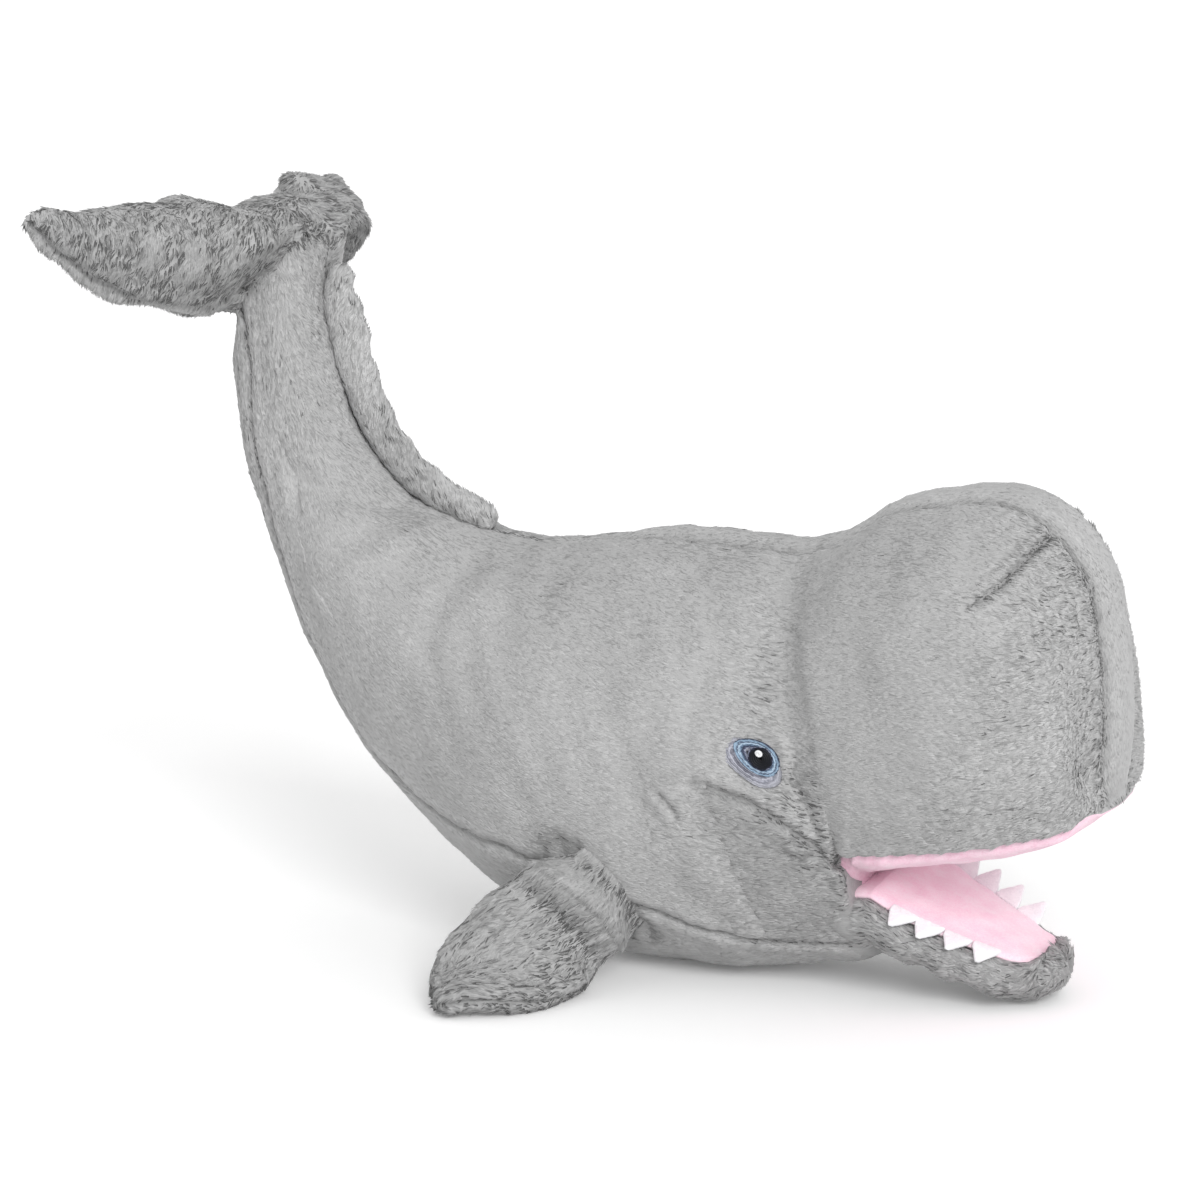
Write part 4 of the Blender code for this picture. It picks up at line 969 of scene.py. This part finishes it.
def eyeThread(name, stops, gloss, seed):
    # Satin stitch in rayon thread, in rings whose colours follow the distance from the
    # middle. Noise along the rings breaks each one into stitches.
    material, shader = newMaterial(name, stops[0][1], Roughness=gloss, Specular_IOR_Level=0.2)
    cloth = addNode(material, "ShaderNodeUVMap", {"uv_map": "clothMap"})
    stretched = addNode(material, "ShaderNodeMapping", None,
                        {"Vector": (cloth, "UV"), "Scale": (1.3, 6.0, 1.0),
                         "Location": (seed, 0.0, 0.0)})
    grain = addNode(material, "ShaderNodeTexNoise", None,
                    {"Vector": (stretched, "Vector"), "Scale": 1.0, "Detail": 2.0})
    parts = addNode(material, "ShaderNodeSeparateXYZ", None, {"Vector": (cloth, "UV")})
    shift = addNode(material, "ShaderNodeMath", {"operation": "MULTIPLY_ADD"},
                    {0: (grain, "Fac"), 1: 0.42, 2: -0.21})
    place = addNode(material, "ShaderNodeMath", {"operation": "ADD"},
                    {0: (parts, "Y"), 1: (shift, "Value")})
    colour = rampNode(material, (place, "Value"), stops)
    material.node_tree.links.new(colour.outputs["Color"], shader.inputs["Base Color"])
    return material


lilacThread = eyeThread("silverLilacRayonThread", [
    (0.0, "#43434f"), (0.18, "#9d9eaa"), (0.34, "#6c6d78"), (0.50, "#bcbdc8"), (0.66, "#7f808a"),
    (0.80, "#b3b4bd"), (1.0, "#8f9097")], 0.45, 1.0)
blueThread = eyeThread("blueRayonThread", [
    (0.0, "#b4b9c6"), (0.14, "#5a6078"), (0.26, "#252b3d"), (0.42, "#71869f"), (0.56, "#bdd2e4"),
    (0.68, "#3c465d"), (0.82, "#9fb8ce"), (1.0, "#343b50")], 0.42, 4.0)
blackThread = eyeThread("blackRayonThread", [
    (0.0, "#0b0c12"), (0.80, "#10121a"), (0.92, "#23273a"), (1.0, "#8e93a6")], 0.38, 7.0)
whiteThread = eyeThread("whiteRayonThread", [(0.0, "#ffffff"), (1.0, "#f3f4f7")], 0.4, 9.0)
eyeThreads = {"eyelid": (lilacThread, "lilac_thread"), "iris": (blueThread, "blue_thread"),
              "pupil": (blackThread, "black_thread"), "highlight": (whiteThread, "white_thread")}


def makeEyes():
    # Embroidered areas on the flank: slanted ellipses laid over the cloth, each ring of
    # thread with a round top.
    station, angle = eyeSpot["station"], math.radians(eyeSpot["degrees"])
    along = (torsoPoint(station + 0.02, angle) - torsoPoint(station - 0.02, angle)) / 0.04
    around = (torsoPoint(station, angle + 0.02) - torsoPoint(station, angle - 0.02)) / 0.04
    forward = -unit(along)
    downward = unit(around - forward * (around * forward).sum())
    outward = unit(np.cross(forward, downward))
    outward = outward * -np.sign(outward[1])
    back = np.linalg.inv(np.array([[(along * forward).sum(), (around * forward).sum()],
                                   [(along * downward).sum(), (around * downward).sum()]]))
    tilt = math.radians(eyeShape["tiltDegrees"])

    def patch(key):
        # Top and underside of an area between a share of its outline and the outline.
        longHalf, shortHalf, onward, below, hole, rings, lift, dome, swell = eyeShape[key]
        turns = fullTurn(180)
        share = np.linspace(0, 1, rings * 5 + 1)[:, None]
        radius = hole + (1 - hole) * share
        fray = (0.015 * np.sin(turns * 5 + 2) + 0.01 * np.sin(turns * 31)) * share
        fray = 1 + fray * (key == "eyelid")
        point = 1 + 0.16 * clamp(-np.cos(turns)) ** 4 * (key in ("eyelid", "iris"))
        reach = radius * fray * point * longHalf * np.cos(turns) + onward
        cross = radius * fray * shortHalf * np.sin(turns) + below
        x = reach * math.cos(tilt) - cross * math.sin(tilt)
        y = reach * math.sin(tilt) + cross * math.cos(tilt)
        moves = np.tensordot(back, np.stack([x, y]) * mm, 1)
        place = torsoPoint(station + moves[0], angle + moves[1])
        rounded = np.sqrt(clamp(1 - np.abs(2 * share - 1) ** 5))
        thread = np.abs(np.sin(share * math.pi * rings)) ** 0.8
        high = eyeSpot["levelMm"] + lift + dome * rounded + swell * thread
        stitch = 0.06 * np.sin(turns * 60 + share * 40)
        top = place + outward * (high + stitch * thread)[..., None] * mm
        under = place + outward * (eyeSpot["levelMm"] - 1.4) * mm
        uv = np.stack(np.broadcast_arrays(turns * 4, share), -1)
        return np.concatenate([top, under[::-1]]), np.concatenate([uv, uv[::-1]])

    for side, word in bothSides:
        for key, (material, slotName) in eyeThreads.items():
            section, uv = patch(key)
            rings = section if side < 0 else section * mirror
            if key == "highlight":
                rings = rings + np.array(eyeShape["highlightShift"])
            index = np.arange(rings[..., 0].size).reshape(rings.shape[:2])
            after = np.roll(index, -1, axis=1)
            faces = np.stack([index, after, np.roll(after, -1, axis=0), np.roll(index, -1, axis=0)], -1)
            faces = faces.reshape(-1, 4)
            points = rings.reshape(-1, 3)
            if signedVolume(points, [faces]) < 0:
                faces = faces[:, ::-1]
            made = makeObject(key + word.capitalize(), points, [faces], material, uv.reshape(-1, 2))
            assign(made, "torso", f"{key}_{word}")


makeEyes()
print("eyes done")


def limbPanel(name, surface, rows, turns, body, node, material, relief):
    # Each limb is a form of two sewn halves that turns about its root. This makes one half:
    # the form between two seams, with its relief, as a closed sheet. The turns are either
    # one row of angles or a whole grid of them.
    grid = surface(rows[:, None], turns if turns.ndim == 2 else turns[None, :])
    middle = surface(rows[:, None], fullTurn(24)[None, :]).mean(1)
    normals = gridNormals(grid, grid - middle[:, None])
    crosswise = lengthsAlong(grid, 1)
    edge = np.minimum(crosswise, crosswise[:, -1:] - crosswise)
    outer = grid + normals * relief(grid, rows, turns, edge)[..., None] * mm
    inner = outer - normals * torsoShape["clothMm"] * mm
    uv = np.stack([lengthsAlong(grid, 0), crosswise], -1)
    kept = np.ones((grid.shape[0] - 1, grid.shape[1] - 1), bool)
    assign(clothPanel(name, outer, inner, kept, uv, material), body, node)
    return outer, gridNormals(outer, normals), np.concatenate([uv, edge[..., None]], -1)


jawShape = {
    "rootRadius": 13, "length": 58.5, "halfWidth": 36, "drop": 28, "squareness": 2.6,
    "lipDegrees": 56, "rimStart": 7.2, "rimEnd": 9.3,
    "rootDegrees": [20.0, 45.0, 68.0, 90.0, 106.0],
    # Along, top, bottom and half width, as shares of length, drop, drop and half width.
    "rows": [(0.23, 0.25, -0.63, 0.97), (0.50, 0.01, -0.82, 0.84), (0.73, -0.20, -0.96, 0.68),
             (0.87, -0.32, -0.98, 0.55), (0.95, -0.38, -0.95, 0.43), (0.99, -0.42, -0.90, 0.36)],
}
jawRows = []
for degrees in jawShape["rootDegrees"]:
    turn = math.radians(degrees)
    tall = jawShape["rootRadius"] * math.sin(turn)
    jawRows.append((-jawShape["rootRadius"] * math.cos(turn), tall, -tall, jawShape["halfWidth"]))
for along, top, bottom, width in jawShape["rows"]:
    jawRows.append((along * jawShape["length"], top * jawShape["drop"], bottom * jawShape["drop"],
                    width * jawShape["halfWidth"]))
jawRows = np.array(jawRows) * mm
jawLast = len(jawRows) - 1


def jawPoint(station, angle):
    # Superellipse sections square to the hinge, from the round root to the tip.
    station, angle = paired(station, angle)
    along, top, bottom, wide = np.moveaxis(splineRows(jawRows, station), -1, 0)
    rise = signedPower(np.cos(angle), 2 / jawShape["squareness"])
    reach = signedPower(np.sin(angle), 2 / jawShape["squareness"])
    high = (top + bottom) / 2 + (top - bottom) / 2 * rise
    return jawHinge + np.stack([along, -wide * reach, high], -1)


jawSurface = roundEnds(jawPoint, jawLast, 2 * mm, 3.0 * mm)


def jawLip(station):
    # Half angle of the fleece floor: constant, then rounded off behind the tip, where the
    # plush of the cover comes up over the edge.
    share = clamp((station - jawShape["rimStart"]) / (jawShape["rimEnd"] - jawShape["rimStart"]))
    return math.radians(jawShape["lipDegrees"]) * np.sqrt(np.maximum(1 - share**2.4, 1e-5))


def makeJaw():
    def liningRelief(grid, rows, turns, edge):
        # The fleece floor sinks a little between its edges, which roll over the lip.
        share = clamp(np.abs(turns) / math.radians(jawShape["lipDegrees"]))
        return -1.8 * (1 - share**2) + 0.3 * softNoise(grid, 14 * mm, 41) + groove(edge, 0.6, 1.0)

    def coverRelief(grid, rows, turns, edge):
        below = between(turns, 1.2, 2 * math.pi - 1.2, 0.4)
        row = rows[:, None]
        fold = -2.0 * hump(row, 5.4, 0.30) - 1.2 * hump(row, 6.2, 0.25)
        rim = 1.6 * hump(edge, 3, 3) * clamp((row - 7.4) / 1.5)
        return groove(edge, 1.5, 1.2) + rim + 0.5 * softNoise(grid, 14 * mm, 42) + fold * below

    rows = np.concatenate([np.linspace(0, 7, 50), np.linspace(7.04, jawShape["rimEnd"] - 0.002, 50)])
    turns = jawLip(rows)[:, None] * (2 * clustered(56, 0.6) - 1)
    # The fleece floor is the lighter copy of the pink fleece, painted light.
    limbPanel("jawLining", jawSurface, rows, turns, "jaw", "jaw_lining", litPinkFleece,
              liningRelief)
    rows = np.concatenate([rows, np.linspace(jawShape["rimEnd"] + 0.03, jawLast - 0.03, 12),
                           jawLast + np.sin(np.linspace(0.02, math.pi / 2 - 0.02, 12))])
    lip = jawLip(rows)[:, None]
    turns = lip + (2 * math.pi - 2 * lip) * clustered(120, 0.7)
    # The cover takes the darker copies of the backing and the pile, painted shade, and its pile is
    # painted a little darker again.
    outer, normals, guide = limbPanel("jawCover", jawSurface, rows, turns, "jaw", "jaw_cover",
                                      shadedBacking, coverRelief)
    nap = -unit(np.gradient(outer, axis=0))
    kept = ((rows[:-1] > 2.6) & (rows[:-1] < jawLast + 0.9))[:, None]
    seam = guide[..., 2]
    guide[..., 2] = np.where(rows[:, None] > jawShape["rimEnd"], np.maximum(seam, 1.0), seam)
    growPile("jawCoverPile", outer, normals, nap, kept, coatGuide(guide, 1.75, 0.25), 900, "jaw",
             "gray_plush", shadedPile)
    fibreMass("jawFibre", jawPoint, 1.2, jawLast - 1.5, 5.5, "jaw", "jaw_filling", 43)


makeJaw()

toothShape = {
    "widthMm": 10.2, "heightMm": 8.2, "thicknessMm": 1.7, "pitchMm": 8.8, "firstMm": 13.4,
    # Degrees above the level, and how far each leans back, for the right and the left row.
    "riseRight": (-24, -26, -26, -24), "riseLeft": (22, 28, 30, 26),
    "backRight": 0.30, "backLeft": 0.05,
    # Outline of one as shares of width and height, and its size at shares of the thickness.
    "corners": [(-0.5, -0.18), (0.5, -0.18), (0.46, 0.14), (0.07, 1.0), (-0.07, 1.0), (-0.46, 0.14)],
    "sizes": [(0.0, 0.86), (0.1, 0.95), (0.35, 1.0), (0.65, 1.0), (0.9, 0.95), (1.0, 0.86)],
}


def makeTeeth():
    # Felt triangles with their corners rounded: the outline shrinks towards both faces, so
    # the cut edge is soft, and the felt waves a little.
    lip = math.radians(jawShape["lipDegrees"])
    corners = toothShape["corners"]
    closed = np.array(corners + corners[:1])
    run = np.concatenate([[0], np.cumsum(np.linalg.norm(np.diff(closed, axis=0), axis=1))])
    places = np.linspace(0, run[-1], 96, endpoint=False)
    outline = np.stack([np.interp(places, run, closed[:, 0]), np.interp(places, run, closed[:, 1])], -1)
    for _ in range(3):
        outline = (outline + np.roll(outline, 1, 0) + np.roll(outline, -1, 0)) / 3
    middle = outline.mean(0)
    width, height = toothShape["widthMm"] * mm, toothShape["heightMm"] * mm
    for number in range(len(toothShape["riseRight"])):
        place = (toothShape["firstMm"] + number * toothShape["pitchMm"]) * mm
        station = float(np.interp(place, jawRows[4:, 0], np.arange(4, len(jawRows))))
        here = jawPoint(station, lip)
        along = unit(jawPoint(station + 0.05, lip) - jawPoint(station - 0.05, lip))
        outward = unit(np.array([along[1], -along[0], 0]))
        upward = np.cross(along, outward)
        upward = upward * np.sign(upward[2])
        for side, word in bothSides:
            title = word.capitalize()
            rise = math.radians(toothShape["rise" + title][number])
            reach = unit(outward * math.cos(rise) + upward * math.sin(rise)
                         - along * toothShape["back" + title])
            base = here + upward * 0.8 * mm - outward * 0.5 * mm
            face = unit(np.cross(along, reach))
            rings = []
            for depth, size in toothShape["sizes"]:
                shape = middle + (outline - middle) * size
                flat = base + along * shape[:, :1] * width + reach * shape[:, 1:] * height
                wave = 0.3 * mm * np.sin(shape[:, 1:] * 3 + number * 1.7 + side)
                rings.append(flat + face * ((depth - 0.5) * toothShape["thicknessMm"] * mm + wave))
            rings = np.array(rings)
            rings += 0.09 * mm * softNoise(rings, 1.4 * mm, 50 + number)[..., None] * (outward + upward)
            rings = rings if side < 0 else rings * mirror
            tooth = tubeMesh(f"tooth{title}{number + 1}", rings, whiteFelt)
            assign(tooth, "jaw", f"tooth_{word}_{number + 1}")


makeTeeth()
print("jaw and teeth done")


flipperShape = {
    "length": 58, "squareness": 2.6,
    "rootDegrees": [20.0, 45.0, 68.0, 90.0, 112.0, 134.0],
    # The root thins out inside the body, and its middle bows up over the flank.
    "rootThinning": 0.65, "rootShortening": 0.28, "bowMm": 8.0, "bowWay": (0.82, -0.40, 0.41),
    # Middle of the chord (shares of the length), chord direction, half chord, half thickness.
    "rows": [
        (-0.19, -0.24, -0.23, 0.72, 0.18, -0.67, 1.05, 0.70),
        (-0.33, -0.47, -0.36, 0.88, -0.12, -0.40, 1.02, 0.62),
        (-0.41, -0.68, -0.43, 0.95, -0.24, -0.16, 0.82, 0.52),
        (-0.46, -0.81, -0.45, 0.97, -0.22, -0.06, 0.54, 0.42),
        (-0.48, -0.87, -0.46, 0.97, -0.22, -0.04, 0.30, 0.33),
    ],
}
firstWay = unit(np.array(flipperShape["rows"][0][:3]))
flipperRows = []
for degrees in flipperShape["rootDegrees"]:
    turn = math.radians(degrees)
    middle = -firstWay * flipperRoot["radius"] * math.cos(turn)
    flipperRows.append((*middle, *unit(flipperRoot["axis"]), flipperRoot["halfChord"],
                        flipperRoot["radius"] * math.sin(turn)))
for row in flipperShape["rows"]:
    middle = np.array(row[:3]) * flipperShape["length"]
    flipperRows.append((*middle, *unit(row[3:6]), row[6] * flipperRoot["halfChord"],
                        row[7] * flipperRoot["radius"]))
flipperRows = np.array(flipperRows)
flipperLast = len(flipperRows) - 1


def flipperPoint(station, angle):
    # Flattened sections along a curved middle line, from the rolled root to the tip.
    station, angle = paired(station, angle)
    row = splineRows(flipperRows, station)
    middle, chord = row[..., :3], unit(row[..., 3:6])
    run = (splineRows(flipperRows, station + 0.05) - splineRows(flipperRows, station - 0.05))[..., :3]
    face = unit(np.cross(chord, run))
    root = between(station, -1, 1.4, 3.4)
    power = 2 / (flipperShape["squareness"] - 0.6 * root)
    rise = signedPower(np.cos(angle), power)
    rise = rise * (1 - flipperShape["rootShortening"] * root * (rise > 0))
    reach = signedPower(np.sin(angle), power) * row[..., 7] * (1 - flipperShape["rootThinning"] * root)
    bow = flipperShape["bowMm"] * (1 - rise**2) * between(station, -1, 3.5, 3.5)
    return flipperHinge + (middle - chord * (rise * row[..., 6])[..., None] + face * reach[..., None]
                           + unit(flipperShape["bowWay"]) * bow[..., None]) * mm


flipperSurface = roundEnds(flipperPoint, flipperLast, 2 * mm, 5 * mm)


def makeFlippers():
    rows = np.concatenate([np.linspace(0, flipperLast, 110),
                           flipperLast + np.sin(np.linspace(0.15, math.pi / 2 - 0.02, 10))])

    def relief(grid, rows, turns, edge):
        # A rounded welt beside the body, a crease beyond it, and gathers that fade outward.
        row, inside = rows[:, None], clamp(edge / 9)
        welt = 2.6 * hump(row, 4.6, 0.55) - 2.8 * hump(row, 5.65, 0.28)
        gathers = 0.4 * np.sin(edge * 0.9 + 1.3) * hump(row, 5.0, 0.9)
        return groove(edge, 1.8, 1.3) + (welt + gathers) * inside + 0.6 * softNoise(grid, 18 * mm, 61)

    for side, word in bothSides:
        title, body = word.capitalize(), f"flipper_{word}"

        def surface(station, angle):
            points = flipperSurface(station, angle)
            return points if side < 0 else points * mirror

        for half, first, seed in (("Upper", math.pi, 1016), ("Lower", 0.0, 1015)):
            turns = first + math.pi * clustered(64, 0.75)
            outer, normals, guide = limbPanel(
                f"flipper{title}{half}", surface, rows, turns, body, f"{body}_{half.lower()}",
                greyBacking, relief)
            nap = unit(np.gradient(outer, axis=0))
            kept, row = (rows[:-1] > 1.0)[:, None], rows[:, None]
            # Painted shade: the pile is darker in the crease at the body, in the crease beyond the welt
            # and over the whole blade past the welt, and it takes the darker copy of the pile.
            creases = (0.8 * clamp((row - 4.6) / 0.8) + 1.7 * hump(row, 2.3, 0.8)
                       + 0.7 * hump(row, 5.6, 0.25) * clamp(guide[..., 2] / 9))
            coat = coatGuide(guide, 1.2 + 0.6 * clamp((row - 5) / 1.5), creases)
            growPile(f"flipper{title}{half}Pile", outer, normals, nap, kept, coat,
                     seed + side * 20, body, "gray_plush", shadedPile)
        fibreMass(f"flipper{title}Fibre", surface, 3.0, flipperLast - 1.0, 7.0, body,
                  f"{body}_filling", 62)


makeFlippers()
print("flippers done")


flukeShape = {
    "halfSpan": 101, "rootRadius": 19, "sweep": 40, "rise": 23,
    # y share of the half span, edge as shares of sweep and rise, half chord, front depth
    # and back depth as shares of the root radius.
    "rows": [
        (0.11, 0.00, 0.00, 1.00, 1.00, 1.00), (0.22, 0.00, 0.00, 1.00, 1.00, 1.00),
        (0.28, -0.26, 0.11, 1.08, 1.48, 0.72), (0.36, -0.50, 0.20, 1.08, 1.86, 0.34),
        (0.50, -0.64, 0.28, 0.96, 1.38, 0.28), (0.65, -0.76, 0.36, 0.78, 0.92, 0.26),
        (0.80, -0.86, 0.54, 0.58, 0.58, 0.24), (0.91, -0.93, 0.78, 0.44, 0.38, 0.22),
        (0.97, -0.97, 0.92, 0.30, 0.26, 0.18), (1.00, -0.99, 0.97, 0.18, 0.15, 0.13),
    ],
    "seamDegrees": 20, "topSeamDegrees": 28, "collarMm": 22.8, "slantMm": -1.5, "slantFall": 0.15,
    "leftDroopMm": 7.5, "leftForwardMm": 6.0,
    # Half width and squareness of the tail's end, which the fluke closes round, and how far
    # the slanting plane steps back there. It presses the lobes back as far out as pressedMm.
    "tailHalfMm": 20.4, "tailPower": 2.2, "tailReachMm": 20, "clearMm": 11, "pressedMm": 60,
    "softMm": 3,
}
flukeSizes = np.array([flukeShape["halfSpan"], flukeShape["sweep"], flukeShape["rise"]]
                      + [flukeShape["rootRadius"]] * 3)
flukeLobe = np.array(flukeShape["rows"]) * flukeSizes
flukeRows = np.concatenate([flukeLobe[::-1] * (-1, 1, 1, 1, 1, 1), flukeLobe]) * mm
flukeLast = len(flukeRows) - 1


def flukePoint(station, angle):
    # Sections square to the span, each a stretched circle deeper in front than behind.
    station, angle = paired(station, angle)
    across, edge, rise, chord, front, back = np.moveaxis(splineRows(flukeRows, station), -1, 0)
    reach = np.sin(angle)
    depth = edge + np.where(reach > 0, front, back) * reach
    return flukeHinge + np.stack([depth, across, rise + chord * np.cos(angle)], -1)


flukeRounded = roundEnds(flukePoint, flukeLast, 3 * mm, 3 * mm)


def flukeSurface(station, angle):
    # The lobes leave the tail behind a slanting plane through the hinge: what would lie in
    # front of it is pressed back onto it, softly, and the left lobe hangs a little lower.
    points = flukeRounded(station, angle) - flukeHinge
    out = np.abs(points[..., 1]) / mm
    beyond = out - flukeShape["tailReachMm"]
    plane = flukeShape["slantMm"] - flukeShape["slantFall"] * np.clip(beyond, 0, 99)
    plane = plane - flukeShape["clearMm"] * clamp(-beyond / 5)
    ahead = overSlant(points) / mm - plane
    share = clamp((flukeShape["pressedMm"] - out) / 15)
    push = (0.5 * (ahead + np.sqrt(ahead**2 + flukeShape["softMm"] ** 2)) - ahead) * share * mm
    points = points + np.stack([-push, np.zeros_like(push), push], -1) / math.sqrt(2)
    slant = overSlant(points) / mm
    reach = np.hypot(points[..., 0], points[..., 2]) / mm
    collar = clamp((slant - collarLine(out) + 1.5) / 3) * clamp((27 - out) / 6)
    grown = 1 + collar * np.clip(flukeShape["collarMm"] / np.maximum(reach, 1) - 1, 0, 0.3)
    hidden = clamp((collarLine(out) - slant - 1.5) / 2) * clamp((21 - out) / 2)
    half, power = flukeShape["tailHalfMm"], flukeShape["tailPower"]
    inside = half * np.clip(1 - (out / half) ** power, 0.02, 1) ** (1 / power) - 3
    grown *= 1 - hidden * np.clip(1 - inside / np.maximum(reach, 1), 0, 0.95)
    points[..., 0] *= grown
    points[..., 2] *= grown
    across = points[..., 1] / mm
    left = between(across, 62, 200, 40)
    points[..., 0] += flukeShape["leftForwardMm"] * mm * left
    points[..., 2] -= flukeShape["leftDroopMm"] * mm * clamp(across / 50 - 1) * left
    return flukeHinge + points


def makeFluke():
    rows = np.concatenate([-np.cos(np.linspace(0.03, 1.35, 8)), np.linspace(0, flukeLast, 210),
                           flukeLast + np.sin(np.linspace(0.2, math.pi / 2 - 0.03, 8))])
    shift = math.radians(flukeShape["seamDegrees"])
    topShift = math.radians(flukeShape["topSeamDegrees"])

    def relief(grid, rows, turns, edge):
        # Creases on both sides of the middle, and soft folds across the lobes.
        out = np.abs(grid[..., 1]) / mm
        crease = -0.8 * hump(out, 24, 6) * clamp(np.cos(turns))
        folds = -1.1 * hump(out, 47, 6) + 0.4 * hump(out, 60, 8)
        folds = folds * np.where(grid[..., 1] > 0, 0.4, 1)
        seam = groove(edge, 1.0, 1.5) * np.where(np.cos(turns) < 0, 2.8, 0.5)
        return seam + crease + folds + 0.8 * softNoise(grid, 24 * mm, 71)

    halves = (("flukeFrontPanel", -topShift, math.pi - shift, "fluke_front_panel"),
              ("flukeBackPanel", math.pi - shift, 2 * math.pi - topShift, "fluke_back_panel"))
    for name, first, last, node in halves:
        turns = first + (last - first) * clustered(72, 0.7)
        outer, normals, guide = limbPanel(name, flukeSurface, rows, turns, "fluke", node,
                                          greyBacking, relief)
        # Beside the collar the pile runs along its edge, and under the edge none grows.
        offset = (outer - flukeHinge) / mm
        out = np.abs(offset[..., 1])
        overLine = overSlant(offset) - collarLine(out)
        near = hump(overLine, 1, 5) * clamp((30 - out) / 8)
        nap = np.zeros_like(outer)
        nap[..., 2] = -1 + 0.6 * near
        nap[..., 1] = np.sign(outer[..., 1]) * (0.25 + 0.9 * near)
        nap[..., 0] = -0.2
        inside = clamp((out - 20) / 2) * 99
        guide[..., 2] = np.minimum(guide[..., 2], np.abs(overLine + 0.4) + inside)
        buried = (overLine < -1.2) & (out < 18.5)
        kept = ~(buried[:-1, :-1] & buried[1:, 1:])
        front = "Front" in name
        # Painted shade: the front panel's pile is darker all over and takes the darker copy of the
        # pile.
        coat = coatGuide(guide, 1.8 if front else 1.6, 1.1 if front else 0.1)
        growPile(name + "Pile", outer, normals, nap, kept, coat, 1115 if front else 1114, "fluke",
                 "gray_plush", shadedPile if front else greyPile)
    fibreMass("flukeFibre", flukeSurface, 0.8, flukeLast - 0.8, 5, "fluke", "fluke_filling", 72)


makeFluke()
print("fluke done")


# Camera, light and floor as in the photo.
view = {
    "target": (-0.0131, 0.0, 0.12365), "azimuth": 25, "elevation": 12, "distance": 1.5,
    "lens": 128.57, "worldStrength": 0.80, "sunStrength": 1.5, "sunSpread": 25,
    "sunWay": (0.58, -0.66, 0.52), "floorLift": 0.12, "floorHalf": 12,
}


def makeCamera():
    # Turned from the whale's right side toward its nose, and raised.
    azimuth, elevation = math.radians(view["azimuth"]), math.radians(view["elevation"])
    back = Vector((math.sin(azimuth) * math.cos(elevation), -math.cos(azimuth) * math.cos(elevation),
                   math.sin(elevation)))
    data = bpy.data.cameras.new("photoCamera")
    data.lens = view["lens"]
    data.sensor_width = 36
    data.clip_start, data.clip_end = 0.05, 60
    camera = bpy.data.objects.new("photoCamera", data)
    bpy.context.scene.collection.objects.link(camera)
    camera.location = Vector(view["target"]) + back * view["distance"]
    camera.rotation_euler = back.to_track_quat("Z", "Y").to_euler()
    bpy.context.scene.camera = camera


def makeStudio():
    # An even white surround and one broad soft sun from in front and to the right.
    world = bpy.data.worlds.new("whiteStudio")
    bpy.context.scene.world = world
    world.use_nodes = True
    world.node_tree.nodes.clear()
    white = hexColour("#ffffff")
    path = addNode(world, "ShaderNodeLightPath")
    seen = addNode(world, "ShaderNodeBackground", None, {"Color": white})
    lit = addNode(world, "ShaderNodeBackground", None,
                  {"Color": white, "Strength": view["worldStrength"]})
    mix = addNode(world, "ShaderNodeMixShader", None,
                  {"Fac": (path, "Is Camera Ray"), 1: (lit, "Background"), 2: (seen, "Background")})
    addNode(world, "ShaderNodeOutputWorld", None, {"Surface": (mix, "Shader")})
    data = bpy.data.lights.new("keySun", "SUN")
    data.energy = view["sunStrength"]
    data.angle = math.radians(view["sunSpread"])
    lamp = bpy.data.objects.new("keySun", data)
    lamp.rotation_euler = Vector(view["sunWay"]).to_track_quat("Z", "Y").to_euler()
    bpy.context.scene.collection.objects.link(lamp)
    # Paper sweep, lifted to pure white for the camera alone.
    floorMaterial, shader = newMaterial("whitePaperFloor", "#fbfbfb", Roughness=0.9,
                                        Specular_IOR_Level=0.0)
    seenBy = addNode(floorMaterial, "ShaderNodeLightPath")
    glow = addNode(floorMaterial, "ShaderNodeMath", {"operation": "MULTIPLY"},
                   {0: (seenBy, "Is Camera Ray"), 1: view["floorLift"]})
    shader.inputs["Emission Color"].default_value = white
    floorMaterial.node_tree.links.new(glow.outputs["Value"], shader.inputs["Emission Strength"])
    ends = np.array([(-1, -1, 0), (1, -1, 0), (1, 1, 0), (-1, 1, 0)], float) * view["floorHalf"]
    floor = makeObject("paperFloor", ends, [np.array([[0, 1, 2, 3]])], floorMaterial)


makeCamera()
makeStudio()
bpy.context.scene.view_settings.view_transform = "Standard"

bpy.context.view_layer.update()
